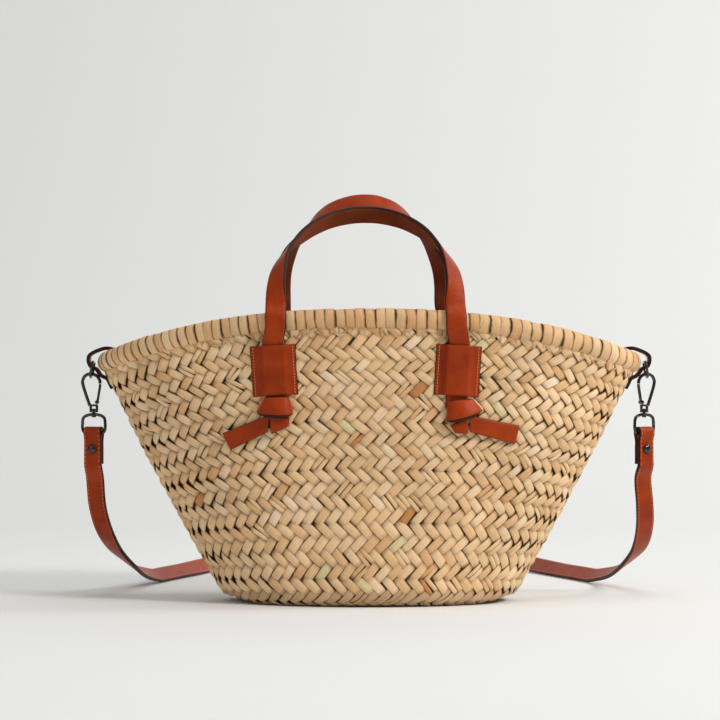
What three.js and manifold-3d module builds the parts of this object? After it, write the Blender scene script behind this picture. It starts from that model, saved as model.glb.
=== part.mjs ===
// A small market-basket bag: a woven straw basket with a wrapped rim, two knotted leather handles
// and a leather shoulder strap that hangs on two snap hooks. Millimetres, +Z up, the front towards -Y,
// the origin at the middle of the flat base.
import * as THREE from 'three';
import { mergeVertices } from 'three/addons/utils/BufferGeometryUtils.js';
import Module from 'manifold-3d';

const wasm = await Module();
wasm.setup();

// Driving dimensions
const clearance = 0.3;

const baseHalfLength = 93;
const baseHalfDepth = 58;
const rimHalfLength = 183.5;
const rimHalfDepth = 68;
const rimTop = 203;
const rimEndDrop = 29.3;
const rimArchPower = 2.4;
const rimCoilHeight = 14.5;
const rimCoilWidth = 13;
const strawWall = 3;
const strawFloor = 3;

const handleWidth = 14;
const handleThickness = 3;
const handleHalfSpan = 62.2;
const handleShift = -2.3;
const frontHandleRise = 71;
const backHandleRise = 81.3;
const handleLean = 58;

const patchWidth = 31;
const patchHeight = 34.3;
const patchThickness = 2;
const patchDrop = 25;
const patchSeam = 6;
const patchTilt = 3.5;
const patchTopLift = 2;

const knotWidth = 25;
const knotHeight = 22;
const knotDepth = 10;
const tailLift = 2;

const tabWidth = 12;
const tabThickness = 2.6;
const tabLoopReach = 3.45;
const tabInnerLeg = 30;
const tabOuterLeg = 11;

const tabRingWire = 2;
const tabRingHalfWidth = 8.2;
const tabRingDrop = 10.5;
const tabRingTilt = 1.8;

const hookWire = 2.3;
const hookHeight = 21.6;
const barrelDiameter = 6.2;
const barrelHeight = 5.4;
const barrelWall = 1.2;
const studDiameter = 2;
const studHeadDiameter = 3.4;
const studHeadHeight = 1;
const gateWidth = 1.8;
const gatePinDiameter = 0.9;
const gatePinRunning = 0.2;
const gateEyeDiameter = 2.8;
const gateEarThickness = 0.8;

const strapRingWire = 2.2;
const strapRingSlack = 0.8;
const strapRingHeight = 14.4;

const strapWidth = 13;
const strapThickness = 2.8;
const strapLoopDepth = 415;
const strapFlapLength = 22;
const strapTurn = { left: 18, right: 35 };
const hookTurn = { left: 0, right: 20 };

const rivetHeadDiameter = 6.8;
const rivetHeadHeight = 1.8;
const rivetShankDiameter = 3;
const rivetCapDiameter = 5.6;
const rivetCapHeight = 1;
const rivetDrop = 11.5;

const aroundSteps = 64;
const coilSides = 10;

// Materials
const straw = new THREE.MeshStandardMaterial({ color: 0xd9be8c, roughness: 0.75, metalness: 0 });
const leather = new THREE.MeshStandardMaterial({ color: 0x94421f, roughness: 0.5, metalness: 0 });
const nickel = new THREE.MeshStandardMaterial({ color: 0x9a9894, roughness: 0.2, metalness: 1 });

const bag = new THREE.Group();

function addPiece(name, geometry, material) {
  const mesh = new THREE.Mesh(geometry, material);
  mesh.name = name;
  bag.add(mesh);
  return mesh;
}

// Geometry helpers

// Six times the volume inside a triangle list is the sum of its corners' triple products.
function facingOut(positions, triangles) {
  const a = new THREE.Vector3();
  const b = new THREE.Vector3();
  const c = new THREE.Vector3();
  let volume = 0;
  for (let i = 0; i < triangles.length; i += 3) {
    a.fromArray(positions, triangles[i] * 3);
    b.fromArray(positions, triangles[i + 1] * 3);
    c.fromArray(positions, triangles[i + 2] * 3);
    volume += a.dot(b.cross(c));
  }
  return volume > 0 ? triangles : triangles.slice().reverse();
}

function solidGeometry(points, triangles) {
  const positions = points.flatMap((point) => [point.x, point.y, point.z]);
  const geometry = new THREE.BufferGeometry();
  geometry.setAttribute('position', new THREE.Float32BufferAttribute(positions, 3));
  geometry.setIndex(facingOut(positions, triangles));
  return geometry;
}

// The triangles between rings of equal length, each ring joined to the next.
function ringTriangles(joints, ringCount, count) {
  const triangles = [];
  for (let i = 0; i < joints; i++) {
    const here = i * count;
    const there = ((i + 1) % ringCount) * count;
    for (let k = 0; k < count; k++) {
      const next = (k + 1) % count;
      triangles.push(here + k, here + next, there + next);
      triangles.push(here + k, there + next, there + k);
    }
  }
  return triangles;
}

// Rings joined one to the next. The two ends are closed by fans about their middles, or the last
// ring is joined to the first.
function ringSolid(rings, endless = false) {
  const count = rings[0].length;
  const points = rings.flat();
  const triangles = ringTriangles(endless ? rings.length : rings.length - 1, rings.length, count);
  if (!endless) {
    const last = (rings.length - 1) * count;
    const middles = [rings[0], rings[rings.length - 1]].map((ring) =>
      ring.reduce((sum, point) => sum.add(point), new THREE.Vector3()).divideScalar(count));
    const first = points.length;
    points.push(...middles);
    for (let k = 0; k < count; k++) {
      const next = (k + 1) % count;
      triangles.push(first, next, k);
      triangles.push(first + 1, last + k, last + next);
    }
  }
  return solidGeometry(points, triangles);
}

// A sheet with two faces, each a grid of rows of points, closed all round its edge. Its first and
// last rows are closed by quads from face to face, because the sheet's section isn't convex.
function slabSolid(frontRows, backRows) {
  const width = frontRows[0].length;
  const count = 2 * width;
  const rings = frontRows.map((row, i) => [...row, ...backRows[i].slice().reverse()]);
  const triangles = ringTriangles(rings.length - 1, rings.length, count);
  const last = (rings.length - 1) * count;
  for (let k = 0; k < width - 1; k++) {
    const opposite = count - 1 - k;
    triangles.push(opposite, k + 1, k, opposite, opposite - 1, k + 1);
    triangles.push(last + k, last + k + 1, last + opposite, last + k + 1, last + opposite - 1, last + opposite);
  }
  return solidGeometry(rings.flat(), triangles);
}

// A section carried along stations. Each station has a centre and the direction of its edge, and
// the section's points are [across the width, out of the face].
function sweptSolid(stations, section, endless = false) {
  const count = stations.length;
  const rings = stations.map((station, i) => {
    const before = endless ? (i + count - 1) % count : Math.max(i - 1, 0);
    const after = endless ? (i + 1) % count : Math.min(i + 1, count - 1);
    const along = stations[after].centre.clone().sub(stations[before].centre).normalize();
    const edge = station.edge.clone();
    edge.addScaledVector(along, -edge.dot(along)).normalize();
    const face = edge.clone().cross(along);
    return section.map(([across, out]) =>
      station.centre.clone().addScaledVector(edge, across).addScaledVector(face, out));
  });
  return ringSolid(rings, endless);
}

function stripSection(width, thickness) {
  const w = width / 2;
  const t = thickness / 2;
  return [[-w, -t], [w, -t], [w, t], [-w, t]];
}

function roundSection(diameter, sides) {
  return Array.from({ length: sides }, (unused, k) => {
    const angle = (2 * Math.PI * k) / sides;
    return [(diameter / 2) * Math.cos(angle), (diameter / 2) * Math.sin(angle)];
  });
}

// Stations between the rows of a table, on smooth curves through the rows' centres and edges.
function smoothStations(rows, stepsPerRow, endless = false) {
  const centres = new THREE.CatmullRomCurve3(rows.map((row) => row.centre), endless);
  const edges = new THREE.CatmullRomCurve3(rows.map((row) => row.edge), endless, 'catmullrom', 0.5);
  const steps = (endless ? rows.length : rows.length - 1) * stepsPerRow;
  const count = endless ? steps : steps + 1;
  return Array.from({ length: count }, (unused, i) => ({
    centre: centres.getPoint(i / steps),
    edge: edges.getPoint(i / steps),
  }));
}

function toManifold(geometry) {
  const bare = geometry.clone();
  bare.deleteAttribute('normal');
  bare.deleteAttribute('uv');
  const merged = mergeVertices(bare, 1e-4);
  return new wasm.Manifold(new wasm.Mesh({
    numProp: 3,
    vertProperties: new Float32Array(merged.attributes.position.array),
    triVerts: new Uint32Array(merged.index.array),
  }));
}

function fromManifold(solid) {
  const mesh = solid.getMesh();
  const geometry = new THREE.BufferGeometry();
  geometry.setAttribute('position', new THREE.Float32BufferAttribute(mesh.vertProperties, 3));
  geometry.setIndex(Array.from(mesh.triVerts));
  return geometry;
}

function joined(geometries) {
  return fromManifold(geometries.map(toManifold).reduce((sum, solid) => sum.add(solid)));
}

function cut(geometry, tools) {
  return fromManifold(tools.map(toManifold).reduce((rest, tool) => rest.subtract(tool), toManifold(geometry)));
}

// The basket. Each row of the table is a level of the wall: its height as a share of the wall's
// height, and how far its length and depth have grown from the base's to the rim's.
const wallLevels = [
  { height: 0, length: 0, depth: 0 },
  { height: 0.012, length: 0.055, depth: 0.2 },
  { height: 0.043, length: 0.09, depth: 0.33 },
  { height: 0.217, length: 0.268, depth: 0.5 },
  { height: 0.435, length: 0.48, depth: 0.66 },
  { height: 0.652, length: 0.687, depth: 0.8 },
  { height: 0.87, length: 0.878, depth: 0.93 },
  { height: 1, length: 1, depth: 1 },
];

const wallHalfLength = rimHalfLength - strawWall / 3;
const wallHalfDepth = rimHalfDepth + strawWall / 2;

// The rim's coil rides on an arch: highest at the middle of the front and back, lowest at the ends.
function coilCentreHeight(x) {
  const share = Math.abs(x) / rimHalfLength;
  return rimTop - rimCoilHeight / 2 - rimEndDrop * share ** rimArchPower;
}

function wallTopHeight(cosine) {
  return coilCentreHeight(rimHalfLength * cosine) - rimCoilHeight / 2 - clearance;
}

// The wall's half length and half depth at a share of its height, straight between the table's rows.
function wallLevel(height) {
  let row = 1;
  while (row < wallLevels.length - 1 && wallLevels[row].height < height) {
    row++;
  }
  const low = wallLevels[row - 1];
  const high = wallLevels[row];
  const part = (height - low.height) / (high.height - low.height);
  const lengthShare = THREE.MathUtils.lerp(low.length, high.length, part);
  const depthShare = THREE.MathUtils.lerp(low.depth, high.depth, part);
  return {
    length: THREE.MathUtils.lerp(baseHalfLength, wallHalfLength, lengthShare),
    depth: THREE.MathUtils.lerp(baseHalfDepth, wallHalfDepth, depthShare),
  };
}

// How far the wall's outer face stands from the middle plane, at a place on the front or back.
// The share of height depends on the arch above that place, so it is found by a few steps.
function wallDepthAt(x, z) {
  let height = z / wallTopHeight(0);
  for (let step = 0; step < 8; step++) {
    const cosine = Math.min(Math.abs(x) / wallLevel(height).length, 1);
    height = z / wallTopHeight(cosine);
  }
  const level = wallLevel(height);
  return level.depth * Math.sqrt(1 - (x / level.length) ** 2);
}

// How far the wall's outer face stands from the middle at its two ends.
function wallEndAt(z) {
  return wallLevel(z / wallTopHeight(1)).length;
}

// A level ring of the wall, pushed inwards by a thickness for the inner face.
function wallRing(height, inwards, lowest) {
  const level = wallLevel(height);
  return Array.from({ length: aroundSteps }, (unused, k) => {
    const angle = (2 * Math.PI * k) / aroundSteps;
    return new THREE.Vector3(
      (level.length - inwards.length) * Math.cos(angle),
      (level.depth - inwards.depth) * Math.sin(angle),
      Math.max(height * wallTopHeight(Math.cos(angle)), lowest),
    );
  });
}

// The ends flare, so a wall of one thickness measures more along X there than along Y at the front.
const endFlare = Math.atan2(wallHalfLength - baseHalfLength, wallTopHeight(1));
const wallInwards = { length: strawWall / Math.cos(endFlare), depth: strawWall };
const floorInwards = { length: strawFloor, depth: strawFloor };
const outerRings = wallLevels.map((level) => wallRing(level.height, { length: 0, depth: 0 }, 0));
const innerRings = wallLevels.slice(2).map((level) => wallRing(level.height, wallInwards, strawFloor * 1.5));
const floorRing = wallRing(0, floorInwards, strawFloor);
const basketBody = ringSolid([...outerRings, ...innerRings.reverse(), floorRing]);
addPiece('basket_body', basketBody, straw);

// The rim: a coil of straw, its section flat below where it sits on the wall's top edge.
const coilStations = Array.from({ length: aroundSteps }, (unused, k) => {
  const angle = (2 * Math.PI * k) / aroundSteps;
  const x = rimHalfLength * Math.cos(angle);
  const outwards = new THREE.Vector3(rimHalfDepth * Math.cos(angle), rimHalfLength * Math.sin(angle), 0);
  return {
    centre: new THREE.Vector3(x, rimHalfDepth * Math.sin(angle), coilCentreHeight(x)),
    edge: outwards.normalize(),
  };
});
const coilRings = coilStations.map(({ centre, edge }) =>
  Array.from({ length: coilSides }, (unused, k) => {
    const half = Math.PI / coilSides;
    const angle = 2 * half * k + half;
    const point = centre.clone().addScaledVector(edge, (rimCoilWidth / 2) * Math.sin(angle));
    point.z += (rimCoilHeight / 2) * Math.cos(angle) / Math.cos(half);
    return point;
  }));
addPiece('basket_rim', ringSolid(coilRings, true), straw);

// The four corners where a handle meets the basket. A knot's tail starts a little lower or higher,
// points more or less downwards and is a little longer or shorter, as the hand that tied it left it.
const corners = [
  { name: 'front_left', side: -1, face: -1, tailDrop: 2, tailSlope: 20, tail: 37 },
  { name: 'front_right', side: 1, face: -1, tailDrop: -2, tailSlope: 17, tail: 44 },
  { name: 'back_left', side: -1, face: 1, tailDrop: 0, tailSlope: 18, tail: 39 },
  { name: 'back_right', side: 1, face: 1, tailDrop: 1, tailSlope: 22, tail: 37 },
];

const patchMiddle = rimTop - patchDrop - patchHeight / 2;
const channelHalfWidth = patchWidth / 2 - patchSeam;

// A place in front of the wall: across and up in a frame turned with the patch, and out from the wall.
function onCorner(corner, across, up, out) {
  const tilt = THREE.MathUtils.degToRad(patchTilt) * -corner.side;
  const x = corner.side * handleHalfSpan + handleShift + across * Math.cos(tilt) - up * Math.sin(tilt);
  const z = patchMiddle + across * Math.sin(tilt) + up * Math.cos(tilt);
  return new THREE.Vector3(x, corner.face * (wallDepthAt(x, z) + out), z);
}

// A patch: flat seams at its two sides, and a raised channel between them for the handle's end. The
// channel rises towards its top, where the handle starts outwards to pass over the rim.
const patchProfile = [
  { across: -patchWidth / 2, raised: 0 },
  { across: -channelHalfWidth, raised: 0 },
  { across: -handleWidth / 2 - clearance, raised: 1 },
  { across: handleWidth / 2 + clearance, raised: 1 },
  { across: channelHalfWidth, raised: 0 },
  { across: patchWidth / 2, raised: 0 },
];
const patchRowCount = 6;

function channelLift(up) {
  return patchTopLift * Math.max(up / patchHeight + 0.5, 0) ** 2;
}

for (const corner of corners) {
  const rowOf = (up, thickness) => patchProfile.map(({ across, raised }) => {
    const channel = raised * (handleThickness + clearance + channelLift(up));
    return onCorner(corner, across, up, clearance + channel + thickness);
  });
  const heights = Array.from({ length: patchRowCount }, (unused, i) =>
    patchHeight * (i / (patchRowCount - 1) - 0.5));
  const outer = heights.map((up) => rowOf(up, patchThickness));
  const inner = heights.map((up) => rowOf(up, 0));
  addPiece(`patch_${corner.name}`, slabSolid(outer, inner), leather);
}

// The handles. A leg comes up out of its patch, leans in over the rim and turns on its way to the
// top. Each row has its place as shares of the half span, the lean and the rise above the rim, and
// the direction of the edge that lies nearest the middle on the legs and on top at the apex.
const handleLegs = [
  { span: 1, lean: 0.1, rise: 0.04, edge: [1, 0, 0] },
  { span: 0.985, lean: 0.17, rise: 0.258, edge: [0.93, -0.36, 0] },
  { span: 0.912, lean: 0.27, rise: 0.44, edge: [0.5, -0.86, 0.05] },
  { span: 0.82, lean: 0.42, rise: 0.626, edge: [0.12, -0.97, 0.2] },
  { span: 0.706, lean: 0.6, rise: 0.755, edge: [0, -0.9, 0.45] },
  { span: 0.556, lean: 0.76, rise: 0.858, edge: [0, -0.8, 0.6] },
  { span: 0.37, lean: 0.89, rise: 0.942, edge: [0, -0.74, 0.67] },
  { span: 0.14, lean: 0.98, rise: 0.993, edge: [0, -0.7, 0.71] },
  { span: 0, lean: 1, rise: 1, edge: [0, -0.7, 0.72] },
];

// The legs start outside the rim, clear of its coil.
function rimClearDepth(x) {
  const middle = rimHalfDepth * Math.sqrt(1 - (x / rimHalfLength) ** 2);
  return middle + rimCoilWidth / 2 + 3 * clearance + handleThickness / 2;
}

function handleRow(row, side, face, rise) {
  const x = side * row.span * handleHalfSpan;
  const start = rimClearDepth(handleHalfSpan);
  const y = face * (start - row.lean * handleLean);
  const [ex, ey, ez] = row.edge;
  return {
    centre: new THREE.Vector3(x + handleShift, y, rimTop + row.rise * rise),
    edge: new THREE.Vector3(-side * ex, -face * ey, ez),
  };
}

// A leg under its patch and up past the rim, from the knot upwards, lying flat on what is behind it.
function legRows(corner) {
  const seat = clearance + handleThickness / 2;
  const half = handleWidth / 2;
  const ups = [-0.75, -0.5, -0.25, 0, 0.25, 0.5].map((share) => share * patchHeight);
  const rows = ups.map((up) => {
    const out = seat + channelLift(up);
    const edge = onCorner(corner, -corner.side * half, up, out).sub(onCorner(corner, corner.side * half, up, out));
    return { centre: onCorner(corner, 0, up, out), edge };
  });
  const x = corner.side * handleHalfSpan + handleShift;
  const rimPoint = (at, z) => new THREE.Vector3(at, corner.face * rimClearDepth(at), z);
  for (const z of [coilCentreHeight(x) - rimCoilHeight / 4, coilCentreHeight(x) + rimCoilHeight / 4]) {
    const edge = rimPoint(x - corner.side * half, z).sub(rimPoint(x + corner.side * half, z));
    rows.push({ centre: rimPoint(x, z), edge });
  }
  for (const row of rows) {
    row.edge.normalize();
  }
  return rows;
}

// A knot is a rounded lump against the wall, and its tail a strip that lies on the wall beside it.
function knotSolids(corner) {
  const up = -patchHeight / 2 - 4 * clearance - knotHeight / 2;
  const out = 3 * clearance + knotDepth / 2;
  const middle = onCorner(corner, 0, up, out);
  const across = onCorner(corner, knotWidth / 2, up, out).sub(onCorner(corner, -knotWidth / 2, up, out));
  const lump = new THREE.SphereGeometry(0.5, 14, 10);
  lump.scale(knotWidth, knotDepth, knotHeight);
  lump.rotateZ(Math.atan2(across.y, across.x));
  lump.translate(middle.x, middle.y, middle.z);
  const slope = THREE.MathUtils.degToRad(corner.tailSlope);
  const tailOut = clearance + handleThickness / 2 + tailLift;
  const tailPoint = (reach, sideways) => {
    const x = middle.x + corner.side * (reach * Math.cos(slope) + sideways * Math.sin(slope));
    const z = middle.z - knotHeight / 8 - corner.tailDrop - reach * Math.sin(slope) + sideways * Math.cos(slope);
    return new THREE.Vector3(x, corner.face * (wallDepthAt(x, z) + tailOut), z);
  };
  const stations = [0, 0.5, 1].map((share) => {
    const reach = share * corner.tail;
    const edge = tailPoint(reach, handleWidth / 2).sub(tailPoint(reach, -handleWidth / 2)).normalize();
    return { centre: tailPoint(reach, 0), edge };
  });
  return [lump, sweptSolid(stations, stripSection(handleWidth, handleThickness))];
}

const handles = [
  { name: 'handle_front', face: -1, rise: frontHandleRise },
  { name: 'handle_back', face: 1, rise: backHandleRise },
];

for (const handle of handles) {
  const [left, right] = [-1, 1].map((side) =>
    corners.find((corner) => corner.side === side && corner.face === handle.face));
  const rise = handle.rise - handleWidth / 2 * handleLegs[handleLegs.length - 1].edge[2];
  const up = handleLegs.map((row) => handleRow(row, -1, handle.face, rise));
  const down = handleLegs.slice(0, -1).reverse().map((row) => handleRow(row, 1, handle.face, rise));
  const rightLeg = legRows(right).reverse();
  // The edge that is inside on the left leg is outside on the right one, unless it is turned about.
  for (const row of [...down, ...rightLeg]) {
    row.edge.x = Math.abs(row.edge.x) * -1;
  }
  const rows = [...legRows(left), ...up, ...down, ...rightLeg];
  const strip = sweptSolid(smoothStations(rows, 2), stripSection(handleWidth, handleThickness));
  addPiece(handle.name, joined([strip, ...knotSolids(left), ...knotSolids(right)]), leather);
}

// Everything at the two ends of the bag is drawn for the right side and mirrored for the left.
const sides = [
  { name: 'left', side: -1 },
  { name: 'right', side: 1 },
];

// A side tab: a strip that comes up inside the wall, goes over the rim's coil, makes a small loop
// outside it and is sewn down on the wall's outer face.
const coilEndHeight = coilCentreHeight(rimHalfLength);
const endRadius = rimHalfDepth ** 2 / rimHalfLength;
const tabSagitta = tabWidth ** 2 / 8 / endRadius;
const tabSeat = (clearance + tabThickness / 2) / Math.cos(endFlare) + tabSagitta;
const coilOut = rimHalfLength + rimCoilWidth / 2;
const coilIn = rimHalfLength - rimCoilWidth / 2;
const coilTop = coilEndHeight + rimCoilHeight / 2;
const coilFoot = coilEndHeight - rimCoilHeight / 2;
const coilFootOut = rimHalfLength + rimCoilWidth / 2 * Math.sin(Math.PI / coilSides);
const loopDepth = tabSeat + tabLoopReach;
const loopOut = coilOut + loopDepth;

function tabRoute() {
  const insideWall = (z) => wallEndAt(z) - wallInwards.length - tabSeat - clearance;
  const outsideWall = (z) => wallEndAt(z) + tabSeat;
  const inner = [1, 0.75, 0.5].map((share) => coilEndHeight - share * tabInnerLeg).map((z) =>
    [Math.min(insideWall(z), coilIn - tabSeat), z]);
  const outer = [0.4, 0.7, 1].map((share) => coilFoot - share * tabOuterLeg).map((z) =>
    [outsideWall(z), z]);
  return [
    ...inner,
    [coilIn - tabSeat, coilEndHeight - rimCoilHeight / 4],
    [coilIn - tabSeat, coilEndHeight + rimCoilHeight / 5],
    [coilIn + rimCoilWidth / 12, coilTop + tabSeat / 2],
    [rimHalfLength, coilTop + tabSeat],
    [coilOut - rimCoilWidth / 10, coilTop + tabSeat / 2],
    [loopOut - loopDepth / 8, coilEndHeight + rimCoilHeight / 3],
    [loopOut, coilEndHeight + rimCoilHeight / 12],
    [loopOut - loopDepth / 4, coilEndHeight - rimCoilHeight / 5],
    [coilOut + tabSeat / 3, coilFoot + tabSeat],
    [coilFootOut + tabSeat * 0.7, coilFoot - tabSeat * 0.8],
    ...outer,
  ];
}

const acrossBag = new THREE.Vector3(0, 1, 0);

function sideTab() {
  const rows = tabRoute().map(([x, z]) => ({ centre: new THREE.Vector3(x, 0, z), edge: acrossBag }));
  return sweptSolid(smoothStations(rows, 3), stripSection(tabWidth, tabThickness));
}

// A wire ring drawn as a closed curve through [sideways, down] shares in a plane of its own.
function wireRing(outline, halfWidth, drop, wire, sides, place) {
  const centres = outline.map(([sideways, down]) => place(sideways * halfWidth, down * drop));
  const normal = place(1, 0).sub(place(0, 0)).cross(place(0, 1).sub(place(0, 0))).normalize();
  const rows = centres.map((centre) => ({ centre, edge: normal }));
  return sweptSolid(smoothStations(rows, 3, true), roundSection(wire, sides), true);
}

// The tab's ring has its straight side in the leather loop and hangs a little outwards.
const dRingOutline = [
  [-0.6, 0], [0.6, 0], [0.97, 0.1], [1, 0.45], [0.76, 0.84], [0, 1], [-0.76, 0.84], [-1, 0.45], [-0.97, 0.1],
];
const tabRingX = loopOut - tabThickness / 2 - 3 * clearance - tabRingWire / 2;
const tabRingZ = coilEndHeight;

function tabRing() {
  const place = (sideways, down) => new THREE.Vector3(
    tabRingX + tabRingTilt * down / tabRingDrop,
    sideways,
    tabRingZ - down,
  );
  return wireRing(dRingOutline, tabRingHalfWidth, tabRingDrop, tabRingWire, 8, place);
}

// The snap hook hangs from the tab's ring. Its own frame has u pointing away from the bag and its
// zero at the top of the barrel, on the swivel's axis.
const hookTopShare = 0.27;
const hookHalfWidth = 7.6;
const ringFootX = tabRingX + tabRingTilt;
const ringFootZ = tabRingZ - tabRingDrop;
const swivelX = ringFootX - hookTopShare * hookHalfWidth;
const barrelTop = ringFootZ + tabRingWire / 2 + clearance + hookWire / 2 - hookHeight;

// The wire of the hook as [u, up] shares, from the barrel round to the tip that the gate meets.
const hookOutline = [
  [0.36, -0.04], [0.7, 0.3], [0.98, 0.62], [1.03, 0.76], [0.8, 0.93],
  [hookTopShare, 1], [-0.25, 0.93], [-0.53, 0.79], [-0.58, 0.68],
];
const gateEyeUp = gateEyeDiameter / 2 + clearance;
const gateFootShare = -0.3;
const gateTipShare = 0.68;

function inHookFrame(u, up) {
  return new THREE.Vector3(u, 0, up);
}

// A round bar lying along Y.
function crossBar(u, up, diameter, from, to, sides) {
  const bar = new THREE.CylinderGeometry(diameter / 2, diameter / 2, to - from, sides);
  bar.translate(u, (from + to) / 2, up);
  return bar;
}

const gateFootU = gateFootShare * hookHalfWidth;

function hookBody() {
  const rows = hookOutline.map(([u, up]) => ({
    centre: inHookFrame(u * hookHalfWidth, up * hookHeight),
    edge: acrossBag,
  }));
  const wire = sweptSolid(smoothStations(rows, 3), roundSection(hookWire, 8));
  const barrel = new THREE.CylinderGeometry(barrelDiameter / 2, barrelDiameter / 2, barrelHeight, 16);
  barrel.rotateX(Math.PI / 2);
  barrel.translate(0, 0, -barrelHeight / 2);
  const earInner = gateWidth / 2 + clearance;
  const earOuter = earInner + gateEarThickness;
  const ears = [[-earOuter, -earInner], [earInner, earOuter]].flatMap(([from, to]) => {
    const lug = new THREE.BoxGeometry(gateEyeDiameter, to - from, gateEyeUp + clearance);
    lug.translate(gateFootU, (from + to) / 2, (gateEyeUp - clearance) / 2);
    return [crossBar(gateFootU, gateEyeUp, gateEyeDiameter, from, to, 12), lug];
  });
  const pinReach = earOuter - gateEarThickness / 4;
  const pin = crossBar(gateFootU, gateEyeUp, gatePinDiameter, -pinReach, pinReach, 10);
  const bore = new THREE.CylinderGeometry(
    studDiameter / 2 + clearance, studDiameter / 2 + clearance, 2 * barrelWall, 12);
  bore.rotateX(Math.PI / 2);
  bore.translate(0, 0, -barrelHeight);
  const windowHeight = barrelHeight - 2 * barrelWall;
  const cage = new THREE.BoxGeometry(studHeadDiameter + 2 * clearance, 2 * barrelDiameter, windowHeight);
  cage.translate(0, 0, -barrelHeight / 2);
  return cut(joined([wire, barrel, ...ears, pin]), [bore, cage]);
}

// The gate: a lever from its eye on the pin to the tip of the hook.
function hookGate() {
  const tip = inHookFrame(-0.57 * hookHalfWidth, gateTipShare * hookHeight - clearance);
  const foot = inHookFrame(gateFootU, gateEyeUp);
  const rows = [foot, foot.clone().lerp(tip, 0.5), tip].map((centre) => ({ centre, edge: acrossBag }));
  rows[1].centre.x -= clearance;
  const lever = sweptSolid(smoothStations(rows, 2), stripSection(gateWidth, gateWidth));
  const eye = crossBar(gateFootU, gateEyeUp, gateEyeDiameter, -gateWidth / 2, gateWidth / 2, 12);
  const bore = crossBar(gateFootU, gateEyeUp, gatePinDiameter + gatePinRunning, -gateWidth, gateWidth, 12);
  return cut(joined([lever, eye]), [bore]);
}

// The swivel's loop and its stud, in the same frame. The stud's head lies in the barrel's cage.
const strapRingTop = -barrelHeight - clearance - strapRingWire / 2 - 0.5;
const strapRingOutline = [
  [-0.5, 0], [0.5, 0], [0.93, 0.16], [1.02, 0.5], [1, 0.84], [0.82, 1], [-0.82, 1], [-1, 0.84],
  [-1.02, 0.5], [-0.93, 0.16],
];
const strapBarDrop = strapRingHeight - strapRingWire;
const strapRingHalfWidth = strapWidth / 2 + strapRingWire / 2 + strapRingSlack;

function strapRing() {
  const place = (sideways, down) => new THREE.Vector3(sideways, 0, strapRingTop - down);
  const loop = wireRing(strapRingOutline, strapRingHalfWidth, strapBarDrop, strapRingWire, 8, place);
  const headFoot = -barrelHeight + barrelWall + clearance;
  const foot = strapRingTop - strapRingWire * 0.75;
  const stud = new THREE.LatheGeometry([
    new THREE.Vector2(0, foot),
    new THREE.Vector2(studDiameter * 0.8, foot),
    new THREE.Vector2(studDiameter * 0.8, strapRingTop + strapRingWire / 2),
    new THREE.Vector2(studDiameter / 2, strapRingTop + strapRingWire / 2 + clearance / 2),
    new THREE.Vector2(studDiameter / 2, headFoot),
    new THREE.Vector2(studHeadDiameter / 2, headFoot),
    new THREE.Vector2(studHeadDiameter / 2, headFoot + studHeadHeight * 0.6),
    new THREE.Vector2(studHeadDiameter / 4, headFoot + studHeadHeight),
    new THREE.Vector2(0, headFoot + studHeadHeight),
  ], 14);
  stud.rotateX(Math.PI / 2);
  return joined([loop, stud]);
}

// The rivet goes through both layers of a folded strap end. Its head is on the strap's face.
const foldRadius = strapRingWire / 2 + clearance + strapThickness / 2;
const layerOffset = strapThickness / 2 + clearance / 2;

function strapRivet() {
  const face = layerOffset + strapThickness / 2 + clearance;
  const dome = [0, 0.35, 0.7, 0.95].map((share) => new THREE.Vector2(
    (rivetHeadDiameter / 2) * Math.sqrt(1 - share ** 2), face + rivetHeadHeight * share));
  const rivet = new THREE.LatheGeometry([
    new THREE.Vector2(0, -face - rivetCapHeight),
    new THREE.Vector2(rivetCapDiameter / 2 * 0.8, -face - rivetCapHeight),
    new THREE.Vector2(rivetCapDiameter / 2, -face),
    new THREE.Vector2(rivetShankDiameter / 2, -face),
    new THREE.Vector2(rivetShankDiameter / 2, face),
    ...dome,
    new THREE.Vector2(0, face + rivetHeadHeight),
  ], 16);
  rivet.rotateZ(Math.PI);
  return rivet;
}

// The shoulder strap leaves each hook hanging with its grain face to the front, bends back, turns
// on edge and lies on the surface behind the bag in one wide loop, a little wider at the right end.
// Each row has its place as shares of the hooks' half distance at either end, of the loop's depth
// and of the height that it hangs from, and the direction of the edge that is nearest the bag.
const strapRoute = [
  { left: 1, right: 1, back: 0.022, rise: 0.725, edge: [0.99, -0.14, -0.02] },
  { left: 0.997, right: 1.012, back: 0.048, rise: 0.563, edge: [0.98, -0.2, -0.04] },
  { left: 0.983, right: 1.02, back: 0.087, rise: 0.419, edge: [0.97, -0.24, -0.07] },
  { left: 0.953, right: 1.012, back: 0.145, rise: 0.278, edge: [0.9, -0.36, -0.26] },
  { left: 0.909, right: 0.978, back: 0.205, rise: 0.175, edge: [0.79, -0.41, -0.47] },
  { left: 0.877, right: 0.943, back: 0.275, rise: 0.1, edge: [0.72, -0.37, -0.59] },
  { left: 0.845, right: 0.9, back: 0.345, rise: 0.06, edge: [0.7, -0.3, -0.65] },
  { left: 0.805, right: 0.85, back: 0.415, rise: 0.03, edge: [0.71, -0.24, -0.66] },
  { left: 0.74, right: 0.775, back: 0.51, rise: 0, edge: [0.73, -0.16, -0.67] },
  { left: 0.655, right: 0.68, back: 0.635, rise: 0, edge: [0.6, -0.13, -0.79] },
  { left: 0.59, right: 0.6, back: 0.771, rise: 0, edge: [0.4, -0.1, -0.9] },
  { left: 0.475, right: 0.475, back: 0.892, rise: 0, edge: [0.2, -0.1, -0.97] },
  { left: 0.26, right: 0.26, back: 0.976, rise: 0, edge: [0, 0, -1] },
];

const strapBarHeight = barrelTop + strapRingTop - strapBarDrop;
const strapRest = strapWidth / 2;

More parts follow.
